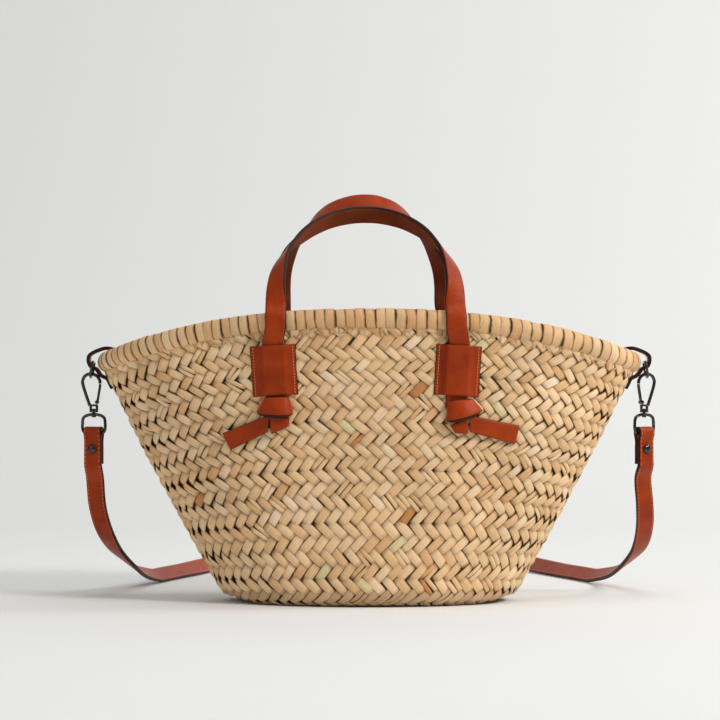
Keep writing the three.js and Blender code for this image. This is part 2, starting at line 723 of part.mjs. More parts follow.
// The folded end: up the flap behind, over the loop's bar and down the front, in the turned frame.
function foldRows() {
  const bar = strapBarHeight;
  const rows = [1, 0.75, 0.5, 0.25].map((share) => [layerOffset, bar - share * strapFlapLength]);
  for (const degrees of [0, 45, 90, 135, 180]) {
    const angle = THREE.MathUtils.degToRad(degrees);
    rows.push([foldRadius * Math.cos(angle), bar + foldRadius * Math.sin(angle)]);
  }
  for (const share of [0.25, 0.5, 0.75, 1]) {
    rows.push([-layerOffset, bar - share * strapFlapLength]);
  }
  return rows;
}

function turnOf(side) {
  return THREE.MathUtils.degToRad(strapTurn[side.name]) * side.side;
}

// The strap's rows from one flap to the middle of the loop. The grain face looks outwards and to
// the front, so the edge nearest the bag is turned to the front a little.
function strapHalf(side) {
  const turn = turnOf(side);
  const towardsBag = new THREE.Vector3(-side.side * Math.cos(turn), -Math.abs(Math.sin(turn)), 0);
  const back = new THREE.Vector3(-side.side * Math.abs(Math.sin(turn)), Math.cos(turn), 0);
  const folded = foldRows().map(([behind, z]) => ({
    centre: new THREE.Vector3(side.side * swivelX, 0, z).addScaledVector(back, behind),
    edge: towardsBag,
  }));
  const route = strapRoute.map((row) => ({
    centre: new THREE.Vector3(
      side.side * row[side.name] * swivelX,
      row.back * strapLoopDepth,
      row.rise * strapBarHeight,
    ),
    edge: new THREE.Vector3(-side.side * row.edge[0], row.edge[1], row.edge[2]),
  }));
  return [...folded, ...route];
}

// Where the strap lies, its lowest corner rests on the surface that the bag stands on.
function liftToSurface(stations) {
  for (const { centre, edge } of stations) {
    const upright = Math.abs(edge.z) / edge.length();
    const reach = strapWidth / 2 * upright + strapThickness / 2 * Math.sqrt(1 - upright ** 2);
    centre.z = Math.max(centre.z, reach);
  }
}

function shoulderStrap() {
  const [left, right] = sides.map(strapHalf);
  const middle = { centre: new THREE.Vector3(0, strapLoopDepth, strapRest), edge: new THREE.Vector3(0, 0, -1) };
  const rows = [...left, middle, ...right.reverse()];
  const stations = smoothStations(rows, 3);
  liftToSurface(stations);
  const strap = sweptSolid(stations, stripSection(strapWidth, strapThickness));
  const holes = sides.map((side) => {
    const reach = 4 * layerOffset;
    const hole = crossBar(0, 0, rivetShankDiameter + 2 * clearance, -reach, reach, 16);
    return placedAtStrapEnd(hole, side);
  });
  return cut(strap, holes);
}

// Moves a geometry drawn about the rivet's middle to a strap end.
function placedAtStrapEnd(geometry, side) {
  geometry.rotateZ(turnOf(side));
  geometry.translate(side.side * swivelX, 0, strapBarHeight - rivetDrop);
  return geometry;
}

// Moves a geometry drawn in the hook's frame to its side of the bag.
function placedAtHook(geometry, side, turn) {
  if (side.side < 0) {
    geometry.rotateZ(Math.PI);
  }
  geometry.rotateZ(THREE.MathUtils.degToRad(turn) * side.side);
  geometry.translate(side.side * swivelX, 0, barrelTop);
  return geometry;
}

for (const side of sides) {
  const mirrored = (geometry) => (side.side < 0 ? geometry.rotateZ(Math.PI) : geometry);
  addPiece(`side_tab_${side.name}`, mirrored(sideTab()), leather);
  addPiece(`tab_ring_${side.name}`, mirrored(tabRing()), nickel);
  addPiece(`hook_${side.name}`, placedAtHook(hookBody(), side, hookTurn[side.name]), nickel);
  addPiece(`hook_gate_${side.name}`, placedAtHook(hookGate(), side, hookTurn[side.name]), nickel);
  addPiece(`strap_ring_${side.name}`, placedAtHook(strapRing(), side, strapTurn[side.name]), nickel);
  addPiece(`strap_rivet_${side.name}`, placedAtStrapEnd(strapRivet(), side), nickel);
}
addPiece('shoulder_strap', shoulderStrap(), leather);

export default bag;
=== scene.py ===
import math

import bpy
import numpy as np
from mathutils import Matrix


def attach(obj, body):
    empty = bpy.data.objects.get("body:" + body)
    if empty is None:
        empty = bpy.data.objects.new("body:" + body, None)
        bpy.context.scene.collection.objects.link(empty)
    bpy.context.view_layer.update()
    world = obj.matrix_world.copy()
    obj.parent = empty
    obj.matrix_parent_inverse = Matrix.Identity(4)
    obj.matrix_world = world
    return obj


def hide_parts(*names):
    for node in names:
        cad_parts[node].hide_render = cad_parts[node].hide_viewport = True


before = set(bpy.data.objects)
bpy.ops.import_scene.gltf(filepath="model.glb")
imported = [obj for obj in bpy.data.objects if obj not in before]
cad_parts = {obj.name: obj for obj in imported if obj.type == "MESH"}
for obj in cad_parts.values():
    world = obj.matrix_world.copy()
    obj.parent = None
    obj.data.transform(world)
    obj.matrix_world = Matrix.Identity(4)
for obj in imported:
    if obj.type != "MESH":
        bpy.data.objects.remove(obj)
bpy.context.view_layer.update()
random = np.random.default_rng(7)

# Camera: level with the upper part of the basket, two metres in front of it, with a long lens.
camera_data = bpy.data.cameras.new("camera")
camera_data.lens = 142.9
camera_data.sensor_width = 36
camera = bpy.data.objects.new("camera", camera_data)
camera.location = (-0.0063, -2.0, 0.168)
camera.rotation_euler = (math.radians(90), 0, 0)
bpy.context.scene.collection.objects.link(camera)
bpy.context.scene.camera = camera
bpy.context.scene.view_settings.view_transform = "Standard"


# Studio: a pale paper sweep under and behind the bag, a soft key light high on the right, a weak one
# on the left, one overhead and one on the paper behind. The sweep is clear from behind, so that it
# hides nothing in other views.
def linear(colour):
    """sRGB hex value to linear RGBA: the low part is divided by 12.92, the rest is a power of 2.4."""
    parts = [int(colour[i:i + 2], 16) / 255 for i in (1, 3, 5)]
    return [c / 12.92 if c <= 0.04045 else ((c + 0.055) / 1.055) ** 2.4 for c in parts] + [1.0]


def add_node(material, kind, inputs=(), stops=(), **settings):
    """Adds one node, with its settings, its colour stops, and its inputs as values or as links."""
    node = material.node_tree.nodes.new(kind)
    for name, value in settings.items():
        setattr(node, name, value)
    for i, (place, colour) in enumerate(stops):
        if i >= len(node.color_ramp.elements):
            node.color_ramp.elements.new(place)
        node.color_ramp.elements[i].position = place
        node.color_ramp.elements[i].color = linear(colour)
    for key, value in dict(inputs).items():
        if isinstance(value, bpy.types.NodeSocket):
            material.node_tree.links.new(value, node.inputs[key])
        else:
            node.inputs[key].default_value = value
    return node


def new_material(name):
    """An empty node material and its output node."""
    material = bpy.data.materials.new(name)
    material.use_nodes = True
    material.node_tree.nodes.clear()
    output = add_node(material, "ShaderNodeOutputMaterial")
    return material, output


# Matt paper: it shows soft shadows and no reflections.
paper, paper_output = new_material("matt_paper_sweep")
paper_surface = add_node(paper, "ShaderNodeBsdfDiffuse", {"Color": linear("#EAEBEA")})
paper_clear = add_node(paper, "ShaderNodeBsdfTransparent")
paper_side = add_node(paper, "ShaderNodeNewGeometry")
paper_mix = add_node(paper, "ShaderNodeMixShader", {
    0: paper_side.outputs["Backfacing"], 1: paper_surface.outputs[0], 2: paper_clear.outputs[0]})
paper.node_tree.links.new(paper_mix.outputs[0], paper_output.inputs["Surface"])

sweep_turn = np.radians(np.linspace(0, 90, 16))
sweep_profile = np.concatenate([
    [[-9.0, 0.0], [-1.0, 0.0]],
    np.stack([0.9 + 0.7 * np.sin(sweep_turn), 0.7 - 0.7 * np.cos(sweep_turn)], 1),
    [[1.6, 4.0]],
])
sweep_count = len(sweep_profile)
sweep_points = np.concatenate([
    np.column_stack([np.full(sweep_count, side), sweep_profile]) for side in (-6.0, 6.0)])
sweep_row = np.arange(sweep_count - 1)
sweep_quads = np.stack([
    sweep_row, sweep_row + sweep_count, sweep_row + sweep_count + 1, sweep_row + 1], 1)
sweep_mesh = bpy.data.meshes.new("sweep")
sweep_mesh.from_pydata(sweep_points, [], sweep_quads)
sweep_mesh.polygons.foreach_set("use_smooth", np.ones(len(sweep_quads), bool))
sweep_mesh.materials.append(paper)
sweep = bpy.data.objects.new("sweep", sweep_mesh)
bpy.context.scene.collection.objects.link(sweep)


def area_light(name, place, target, size, power, colour):
    """A square light at a place, turned to face a target."""
    data = bpy.data.lights.new(name, "AREA")
    data.size = size
    data.energy = power
    data.color = linear(colour)[:3]
    light = bpy.data.objects.new(name, data)
    light.location = place
    away = np.array(place) - np.array(target)
    light.rotation_euler = (
        math.atan2(math.hypot(away[0], away[1]), away[2]), 0, math.atan2(away[0], -away[1]))
    bpy.context.scene.collection.objects.link(light)


area_light("key_light", (2.0, -1.5, 1.8), (0, 0, 0.12), 0.6, 42, "#FFFCF8")
area_light("fill_light", (-1.9, -1.6, 1.0), (0, 0, 0.12), 1.6, 4.5, "#FFFDFA")
area_light("overhead_light", (0.1, -0.3, 2.3), (0, 0, 0.12), 1.0, 7, "#FFFFFF")
area_light("wall_light", (2.2, 0.2, 1.9), (0.2, 1.6, 0.6), 0.8, 24, "#FFFFFF")
# The room: bright overhead and dark low down behind the camera, which darkens what metal reflects.
world = bpy.data.worlds.new("studio")
world.use_nodes = True
world.node_tree.nodes["Background"].inputs["Color"].default_value = linear("#F4F4F4")
room_direction = add_node(world, "ShaderNodeTexCoord")
room_parts = add_node(world, "ShaderNodeSeparateXYZ", {0: room_direction.outputs["Generated"]})
room_glow = add_node(world, "ShaderNodeMapRange", {
    "Value": room_parts.outputs["Z"], "From Min": 0.0, "From Max": 0.8, "To Min": 0.19, "To Max": 0.5})
world.node_tree.links.new(
    room_glow.outputs["Result"], world.node_tree.nodes["Background"].inputs["Strength"])
bpy.context.scene.world = world

# Basket wall: strips of palm leaf about 6 mm wide, plaited over two and under two, so that rows of
# strips leaning one way lie between rows leaning the other. The plait is sewn round and round, and
# each ribbon of it has fewer strips than the one above. A dark inner skin, painted shade, closes the gaps.
base_half = np.array([93.0, 58.0])
rim_half = np.array([183.5, 68.0])
wall_half = np.array([182.5, 69.5])
wall_thickness = 3.0
coil_height = 14.5
coil_width = 13.0
rim_top = 203.0
rim_end_drop = 29.3
rim_arch_power = 2.4
# Share of the wall's height, and how far the length and the depth have grown there.
wall_levels = np.array([
    [0, 0, 0], [0.012, 0.055, 0.2], [0.043, 0.09, 0.33], [0.217, 0.268, 0.5],
    [0.435, 0.48, 0.66], [0.652, 0.687, 0.8], [0.87, 0.878, 0.93], [1, 1, 1],
])
# Heights of the plait's half rows as shares of the wall's height, from above the edge down.
row_heights = np.array([
    1.055, 1.005, 0.958, 0.914, 0.873, 0.832, 0.787, 0.742, 0.697, 0.652, 0.609, 0.566, 0.521,
    0.476, 0.429, 0.382, 0.331, 0.281, 0.23, 0.179, 0.128, 0.078, 0.03, 0.016, 0.0,
])
row_numbers = np.append(np.arange(-2, 21), [20.6, 21.7])
base_row = 20.6
base_row_pitch = 9.0
last_row = base_row + 57.9 / base_row_pitch
places_around = 720


def coil_centre_height(x):
    """Height of the rim's coil: its top at the middle, less the end drop times a power of the share."""
    share = np.minimum(np.abs(x) / rim_half[0], 1.05)
    return rim_top - coil_height / 2 - rim_end_drop * share ** rim_arch_power


def wall_top(cosine):
    """Height of the wall's top edge, just under the coil, at the cosine of a place around."""
    return coil_centre_height(rim_half[0] * cosine) - coil_height / 2 - 0.3


def wall_size(height):
    """Half length and half depth of the wall at a share of its height, from the table."""
    grown = np.stack([np.interp(height, wall_levels[:, 0], wall_levels[:, i]) for i in (1, 2)], -1)
    return base_half + (wall_half - base_half) * grown


def basket_face():
    """Points and outward directions on a grid of rows by equal steps around each row, from above
    the wall's edge down to the base and in under it to its middle."""
    rows = np.arange(-2, last_row, 0.1)
    height = np.interp(rows, row_numbers, row_heights)
    inset = np.maximum(rows - base_row, 0) * base_row_pitch
    half = wall_size(height) - inset[:, None]
    turn = np.linspace(-0.5 * np.pi, 1.5 * np.pi, 2049)
    fine = np.stack([
        half[:, :1] * np.cos(turn), half[:, 1:] * np.sin(turn), height[:, None] * wall_top(np.cos(turn))], -1)
    steps = np.linalg.norm(np.diff(fine, axis=1), axis=2)
    run = np.concatenate([np.zeros((len(rows), 1)), np.cumsum(steps, 1)], 1)
    share = np.linspace(0, 1, places_around + 1)
    points = np.stack([
        np.stack([np.interp(share * along[-1], along, line[:, i]) for i in range(3)], -1)
        for along, line in zip(run, fine)])
    # The two ends of the base stand a little off the floor.
    end_lift = 5.0 * np.clip((np.abs(points[..., 0]) / base_half[0] - 0.7) / 0.3, 0, 1) ** 2
    points[..., 2] = np.maximum(points[..., 2], 2.0 + end_lift)
    around = np.gradient(points, axis=1)
    around[:, 0] = around[:, -1] = points[:, 1] - points[:, -2]
    outward = np.cross(np.gradient(points, axis=0), around)
    outward /= np.maximum(np.linalg.norm(outward, axis=2, keepdims=True), 1e-9)
    return points, outward, run[:, -1], rows


face_points, face_outward, face_perimeter, face_rows = basket_face()


def on_basket(share, row, out):
    """Places on the basket's face at a share around it and a row down it, moved outwards: the
    grid's four nearest points and directions are mixed."""
    at_row = np.clip((row + 2) * 10, 0, len(face_rows) - 1.001)
    at_place = (share % 1.0) * places_around
    r = at_row.astype(int)
    p = np.minimum(at_place.astype(int), places_around - 1)
    fr = (at_row - r)[..., None]
    fp = (at_place - p)[..., None]
    mixed = []
    for grid in (face_points, face_outward):
        upper = grid[r, p] * (1 - fp) + grid[r, p + 1] * fp
        lower = grid[r + 1, p] * (1 - fp) + grid[r + 1, p + 1] * fp
        mixed.append(upper * (1 - fr) + lower * fr)
    return mixed[0] + mixed[1] * out[..., None]


def tube_quads(tubes, stations, ring, endless):
    """Corner numbers of the quads between neighbouring rings of each tube, with the two ends
    closed by rows of quads that join opposite points of the ring."""
    k = np.arange(ring)
    a = np.arange(stations if endless else stations - 1)[:, None] * ring
    there = (a + ring) % (stations * ring)
    quads = np.stack([a + k, a + (k + 1) % ring, there + (k + 1) % ring, there + k], -1).reshape(-1, 4)
    if not endless:
        m = np.arange(ring // 2 - 1)
        first = np.stack([m, ring - 1 - m, ring - 2 - m, m + 1], -1)
        quads = np.concatenate([quads, first, first[:, ::-1] + (stations - 1) * ring])
    start = np.arange(tubes)[:, None, None] * stations * ring
    return (start + quads).reshape(-1, 4)


def add_piece(name, points, materials, endless=False, uv=None, shade=None, edge=None, second=(),
              third=(), body="bag", replaces=()):
    """Closed tubes as one object. Points are [tube, station, ring place] in millimetres. Faces are
    turned outwards by the sign of the volume. Ring places listed in second take the second
    material, and those in third the third."""
    tubes, stations, ring = points.shape[:3]
    quads = tube_quads(tubes, stations, ring, endless)
    flat = points.reshape(-1, 3) * 0.001
    p = [flat[quads[:, i]] for i in range(4)]
    volume = sum(np.einsum("ij,ij->", p[0], np.cross(p[i], p[i + 1])) for i in (1, 2))
    if volume < 0:
        quads = quads[:, ::-1]
    mesh = bpy.data.meshes.new(name)
    mesh.from_pydata(flat, [], quads)
    mesh.polygons.foreach_set("use_smooth", np.ones(len(quads), bool))
    for material in materials:
        mesh.materials.append(material)
    if len(second):
        joints = stations if endless else stations - 1
        sides = np.tile(np.isin(np.arange(ring), second) + 2 * np.isin(np.arange(ring), third), joints)
        ends = np.ones(0 if endless else 2 * (ring // 2 - 1))
        mesh.polygons.foreach_set(
            "material_index", np.tile(np.concatenate([sides, ends]), tubes).astype(np.int32))
    if uv is not None:
        layer = mesh.uv_layers.new(name="strip")
        layer.data.foreach_set("uv", uv.reshape(-1, 2)[quads.ravel()].astype(np.float32).ravel())
    for key, values in (("shade", shade), ("edge", edge)):
        if values is not None:
            attribute = mesh.attributes.new(key, "FLOAT", "POINT")
            attribute.data.foreach_set("value", values.astype(np.float32).ravel())
    piece = bpy.data.objects.new(name, mesh)
    bpy.context.scene.collection.objects.link(piece)
    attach(piece, body)
    if replaces:
        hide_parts(*replaces)
    return piece


# Split and dried palm leaf: pale, silky along the fibre, each strip its own shade.
def palm_leaf(name, stops, depth):
    """Palm leaf: the strip's own shade, long streaks of fibre about 0.4 mm apart drawn along it,
    soft patches some 40 mm wide, and dark brown painted shade from the edge attribute. Depth is how dark the
    streaks are."""
    material, output = new_material(name)
    shade = add_node(material, "ShaderNodeAttribute", attribute_name="shade")
    tone = add_node(material, "ShaderNodeValToRGB", {"Fac": shade.outputs["Fac"]}, stops)
    strip = add_node(material, "ShaderNodeUVMap", uv_map="strip")
    along = add_node(material, "ShaderNodeMapping", {
        "Vector": strip.outputs["UV"], "Scale": (0.07, 2.4, 1)})
    fibre = add_node(material, "ShaderNodeTexNoise", {
        "Vector": along.outputs["Vector"], "Scale": 1.0, "Detail": 3.0, "Roughness": 0.6})
    place = add_node(material, "ShaderNodeTexCoord")
    patch = add_node(material, "ShaderNodeTexNoise", {
        "Vector": place.outputs["Object"], "Scale": 25.0, "Detail": 2.0})
    streak = add_node(material, "ShaderNodeMapRange", {
        "Value": fibre.outputs["Fac"], "From Min": 0.3, "From Max": 0.62, "To Min": depth, "To Max": 1.06})
    wide = add_node(material, "ShaderNodeMapRange", {
        "Value": patch.outputs["Fac"], "From Min": 0.3, "From Max": 0.7, "To Min": 0.9, "To Max": 1.08})
    both = add_node(material, "ShaderNodeMath", {
        0: streak.outputs["Result"], 1: wide.outputs["Result"]}, operation="MULTIPLY")
    # Painted shade: the edge attribute mixes in dark brown where strips meet, dive and sit low.
    painted_shade_mask = add_node(material, "ShaderNodeAttribute", attribute_name="edge")
    streaked = add_node(material, "ShaderNodeVectorMath", {
        0: tone.outputs["Color"], "Scale": both.outputs[0]}, operation="SCALE")
    shaded = add_node(material, "ShaderNodeMixRGB", {
        "Fac": painted_shade_mask.outputs["Fac"], "Color1": streaked.outputs["Vector"], "Color2": linear("#472709")})
    bump = add_node(material, "ShaderNodeBump", {
        "Height": fibre.outputs["Fac"], "Strength": 0.5, "Distance": 0.0003})
    surface = add_node(material, "ShaderNodeBsdfPrincipled", {
        "Base Color": shaded.outputs["Color"], "Roughness": 0.58, "IOR": 1.45,
        "Normal": bump.outputs["Normal"]})
    material.node_tree.links.new(surface.outputs[0], output.inputs["Surface"])
    return material


plait_leaf = palm_leaf("dried_palm_leaf_plaited", [
    (0.0, "#CC8A4E"), (0.05, "#DCA56E"), (0.3, "#E6B985"), (0.55, "#EFC896"), (0.8, "#F5D2A6"),
    (0.93, "#F9DEBC"), (1.0, "#E2D09C")], 0.8)
core_leaf = palm_leaf("dried_palm_leaf_in_shadow", [(0.0, "#66401A"), (1.0, "#76502A")], 0.8)

row_pitch = np.interp(np.arange(-1, 27), [0, 20], [9.1, 8.4])
# How much of a step along a row belongs to the strips that lean like a backslash.
row_lean = np.interp(np.arange(-1, 27), [1, 19], [0.56, 0.49])


def plait_rows(flip):
    """Every row of the plait: its number, its count of strips, where the first strip's middle is,
    and the share of a step that leans one way. Four half rows make one ribbon with one count."""
    rows = []
    phase = 0.0
    for number in range(26, -2, -1):
        middle = (number + 1) // 4 * 4 + 0.5 if number < 20 else number
        at = int(np.clip((middle + 2) * 10, 0, len(face_rows) - 1))
        count = max(int(round(face_perimeter[at] / row_pitch[number + 1])), 8)
        lean = row_lean[number + 1]
        rows.append((number, count, phase + (0.5 if flip else 0.0), lean))
        phase += 0.5 - 2 * lean
    return rows


def plait(back_leaning, stations, ring, lift_of, inside):
    """All the strips of one lean. A strip covers two steps of the crossing strips along it and one
    across; it is highest in its middle and dives under its neighbours at both ends. Towards the two
    ends of the basket the plait is bent more sharply, so the strips arch and tilt more. One strip in
    nine is split along its middle into two narrow ones. Each strip's edges and diving ends are darkened
    as painted shade, and the lowest rows as a painted shadow where the base meets the floor."""
    share, row, out, along, across, shade, edge = [], [], [], [], [], [], []
    for number, count, phase, lean in plait_rows(inside):
        odd = number % 2 != 0
        if odd != (back_leaning != inside):
            continue
        split = random.uniform(0, 1, count) < (0 if inside else 0.11)
        whole, halved = np.flatnonzero(~split), np.flatnonzero(split)
        n = np.concatenate([whole, halved, halved])[:, None, None]
        sideways = np.concatenate([0.0 * whole, 0.0 * halved - 0.26, 0.0 * halved + 0.26])[:, None, None]
        strips = len(n)
        long_step = np.array([lean, 0.5]) if back_leaning else np.array([1 - lean, -0.5])
        wide_step = np.array([1 - lean, -0.5]) if back_leaning else np.array([lean, 0.5])
        jitter = lambda spread: random.normal(0, spread, (strips, 1, 1))
        e = stations[None, :, None] + jitter(0.03)
        width = np.clip(1.02 + jitter(0.05), 0.9, 1.1) * np.where(sideways == 0, 1, 0.52)
        taper = 1 - 0.06 * np.abs(e) ** 3
        w = ring[None, None, :, 0] * 0.5 * width * taper + sideways + jitter(0.05) * e
        place = n + phase + e * long_step[0] + w * wide_step[0] + jitter(0.03)
        share.append(place / count)
        row.append(number + e * long_step[1] + w * wide_step[1] + jitter(0.02))
        bend = np.sin(2 * np.pi * place / count) ** 2
        arch = bend * (1.1 - 1.3 * e * e)
        height = lift_of(e) + arch + ring[None, None, :, 1] + jitter(0.16)
        out.append(height + (0.25 + 0.5 * bend) * jitter(1) * w)
        along.append(e * 7.0 + random.uniform(0, 4000, (strips, 1, 1)) + 0 * place)
        across.append(w * 6.4 + 40 * jitter(1.0) + 0 * place)
        kind = 0.08 + 0.86 * random.beta(3.0, 2.6, (strips, 1, 1))
        rare = random.uniform(0, 1, (strips, 1, 1))
        kind = np.where(rare < 0.008, 0.0, np.where(rare > 0.985, 1.0, kind))
        shade.append(kind + 0 * place)
        # Painted shade: each strip darkens along its edges and at the ends where it dives.
        gap_and_dive_shade = np.maximum((np.abs(ring[None, None, :, 0]) > 0.9) * 0.8, (np.abs(e) - 0.85) / 0.45)
        # Painted shadow: the lowest rows darken where the base meets the floor.
        floor_contact_shadow = 0.5 * np.clip((number - 19.2) / 1.2, 0, 1)
        edge.append(np.clip(gap_and_dive_shade, floor_contact_shadow, 1) + 0 * place)
    share, row, out, along, across, shade, edge = (
        np.concatenate(part) for part in (share, row, out, along, across, shade, edge))
    points = on_basket(share, row, -wall_thickness - out if inside else out)
    # The bag's weight presses the strips under the base flat on the floor.
    points[..., 2] = np.maximum(points[..., 2], 0.05)
    return points, np.stack([along, across], -1), shade, edge


# A strip's section: [share across, out], a low crown above and flat below.
strip_ring = np.array([
    [-1, 0.2], [-0.8, 0.75], [0, 1.1], [0.8, 0.75], [1, 0.2], [1, 0.05], [0, 0.25], [-1, 0.05]])
strip_stations = np.array([-1.34, -1.18, -1.0, -0.6, 0.0, 0.6, 1.0, 1.18, 1.34])
few_stations = np.array([-1.3, -1.0, 0.0, 1.0, 1.3])


def strip_lift(e):
    """Height of a strip along itself: level over the two strips that it crosses, then down."""
    return 0.35 - 1.75 * np.clip((np.abs(e) - 0.62) / 0.8, 0, 1) ** 1.5


for name, leaning in (("plait_backslash_strips", True), ("plait_slash_strips", False)):
    points, uv, shade, edge = plait(leaning, strip_stations, strip_ring, strip_lift, False)
    add_piece(name, points, [plait_leaf], uv=uv, shade=shade, edge=edge, replaces=["basket_body"])
for name, leaning in (("inner_backslash_strips", True), ("inner_slash_strips", False)):
    points, uv, shade, edge = plait(leaning, few_stations, strip_ring, strip_lift, True)
    add_piece(name, points, [plait_leaf], uv=uv, shade=shade, edge=edge)

core_rows = np.append(np.linspace(-1.2, base_row, 44), np.linspace(base_row + 0.3, last_row - 0.1, 12))
core_share = np.arange(144) / 144
core_row, core_place = np.meshgrid(core_rows, core_share, indexing="ij")
core_points = np.concatenate([
    on_basket(core_place, core_row, np.full_like(core_row, -1.0)),
    on_basket(core_place, core_row, np.full_like(core_row, -2.2))[::-1],
])[None]
core_uv = np.zeros(core_points.shape[:3] + (2,))
core_uv[..., 0] = core_points[..., 0]
core_uv[..., 1] = core_points[..., 2]
add_piece("plait_inner_skin", core_points, [core_leaf], endless=True, uv=core_uv,
          shade=np.full(core_points.shape[:3], 0.5))

# Rim: a coil of straw laid on the wall's edge and wrapped round and round with palm strips, each
# about 7 mm wide and sewn through the top of the plait.
coil_turn = np.linspace(-0.5 * np.pi, 1.5 * np.pi, 4097)
coil_line = np.stack([
    rim_half[0] * np.cos(coil_turn), rim_half[1] * np.sin(coil_turn),
    coil_centre_height(rim_half[0] * np.cos(coil_turn))], -1)
coil_run = np.append(0, np.cumsum(np.linalg.norm(np.diff(coil_line, axis=0), axis=1)))


def coil_frame(share):
    """Middle, outward and upward directions of the coil at a share of its length."""
    at = (share % 1.0) * coil_run[-1]
    middle, ahead = (np.stack([np.interp((at + step) % coil_run[-1], coil_run, coil_line[:, i])
                               for i in range(3)], -1) for step in (0, 1.0))
    forward = ahead - middle
    forward /= np.linalg.norm(forward, axis=-1, keepdims=True)
    outward = np.cross(forward, [0, 0, 1.0])
    outward /= np.linalg.norm(outward, axis=-1, keepdims=True)
    return middle, outward, np.cross(outward, forward)


def round_coil(share, turn, out):
    """Places round the coil's oval section, turn 0 on top and growing outwards."""
    middle, outward, upward = coil_frame(share)
    return (middle + outward * ((coil_width / 2 - 0.6 + out) * np.sin(turn))[..., None]
            + upward * ((coil_height / 2 - 0.6 + out) * np.cos(turn))[..., None])


wrap_count = 124
wrap_ring = np.array([
    [-1, 0.0], [-0.75, 0.34], [0.6, 0.5], [1, 0.34], [1, -0.1], [0.6, -0.1], [-0.75, -0.1], [-1, -0.15]])
wrap_turn = np.radians(np.linspace(-168, 168, 23))[None, :, None]
wrap_place = np.arange(wrap_count)[:, None, None]
wrap_jitter = lambda spread: random.normal(0, spread, (wrap_count, 1, 1))
wrap_width = np.clip(1.01 + wrap_jitter(0.02), 0.96, 1.05) * (1 - 0.05 * np.cos(wrap_turn))
wrap_wave = random.normal(0, 0.035, (wrap_count, 23, 1))
wrap_wave = (wrap_wave + np.roll(wrap_wave, 1, 1) + np.roll(wrap_wave, 2, 1)) / 2
wrap_step = (wrap_place + wrap_jitter(0.025) + wrap_wave + wrap_ring[None, None, :, 0] * 0.5 * wrap_width
             + 0.05 * wrap_turn * (1 + wrap_jitter(0.5))) / wrap_count
# The wrappings are 5.8 mm apart at the left end and 7.4 mm at the right.
wrap_share = wrap_step + 0.019 * (1 - np.cos(2 * np.pi * wrap_step))
wrap_out = wrap_ring[None, None, :, 1] + wrap_jitter(0.16) + 3 * wrap_wave + 0 * wrap_share
wrap_out = wrap_out - 0.5 * np.clip(np.abs(wrap_turn) - 2.3, 0, 1) ** 2
wrap_uv = np.stack([
    wrap_turn * 7 + random.uniform(0, 4000, (wrap_count, 1, 1)) + 0 * wrap_share,
    wrap_ring[None, None, :, 0] * 3.5 + 40 * wrap_jitter(1.0) + 0 * wrap_share], -1)
wrap_pale = 0.3 + 0.5 * np.sin(2 * np.pi * wrap_place / wrap_count) ** 2
wrap_shade = 0.06 + wrap_pale * random.beta(2.6, 2.6, (wrap_count, 1, 1)) + 0 * wrap_share
# Painted shade: a dark line along both edges of each wrapping, where it meets the next.
wrap_gap_shade = (np.abs(wrap_ring[None, None, :, 0]) > 0.9) * 0.85 + 0 * wrap_share
add_piece("rim_wrappings", round_coil(wrap_share, wrap_turn + 0 * wrap_share, wrap_out), [plait_leaf],
          uv=wrap_uv, shade=wrap_shade, edge=wrap_gap_shade, replaces=["basket_rim"])

# Under the coil the ends of the plaited strips stand out between the wrappings as a ragged fringe.
fringe_count = 215
fringe_jitter = lambda spread: random.normal(0, spread, (fringe_count, 1, 1))
fringe_e = np.array([-1, -0.6, 0, 0.6, 1.0])[None, :, None] * (1 + fringe_jitter(0.25))
fringe_w = strip_ring[None, None, :, 0] * 0.5 * (0.75 + 0.4 * fringe_e) * (0.95 + fringe_jitter(0.2))
fringe_share = (np.arange(fringe_count)[:, None, None] + fringe_jitter(0.3) + fringe_w
                + fringe_e * fringe_jitter(0.7)) / fringe_count
fringe_row = -0.8 + 0.08 * fringe_jitter(1.0) - 0.32 * fringe_e + 0 * fringe_share
fringe_out = strip_ring[None, None, :, 1] * 0.8 + 1.2 + 0.4 * fringe_e - 0.5 * fringe_e**2 + 0 * fringe_share
fringe_uv = np.stack([
    fringe_e * 3 + 300 * fringe_jitter(1.0) + 0 * fringe_share, 3 * fringe_w + 0 * fringe_share], -1)
# Painted shade under the coil: the fringe gets a low, darker tone and darkened edges and body.
add_piece("rim_fringe", on_basket(fringe_share, fringe_row, fringe_out), [plait_leaf],
          uv=fringe_uv, shade=np.clip(0.25 + 0.15 * fringe_jitter(1.0), 0.08, 0.9) + 0 * fringe_share,
          edge=(np.abs(strip_ring[None, None, :, 0]) > 0.9) * 0.6 + 0.2 + 0 * fringe_share)
# The coil under the wrappings is drawn in the dark leaf as painted shade between them.
coil_share, coil_around = np.meshgrid(
    np.arange(180) / 180, np.linspace(0, 2 * np.pi, 16, endpoint=False), indexing="ij")
coil_points = round_coil(coil_share, coil_around, np.full_like(coil_share, -0.5))[None]
add_piece("rim_coil", coil_points, [core_leaf], endless=True, uv=coil_points[..., :2],
          shade=np.full(coil_points.shape[:3], 0.5))

# Leather patches: cowhide 2 mm thick, raised over the handle's end and sewn down with a thread
# along both sides, so that each holds one end of a handle against the plait.
handle_half_span = 62.2
handle_shift = -2.3
handle_width = 14.0
handle_thickness = 3.0
patch_width = 31.0
patch_height = 34.3
patch_thickness = 2.0
patch_drop = 25.0
patch_top = rim_top - patch_drop
patch_tilt = 3.5
patch_top_lift = 2.0
gap = 0.3
corners = [
    {"name": "front_left", "side": -1, "face": -1},
    {"name": "front_right", "side": 1, "face": -1},
    {"name": "back_left", "side": -1, "face": 1},
    {"name": "back_right", "side": 1, "face": 1},
]


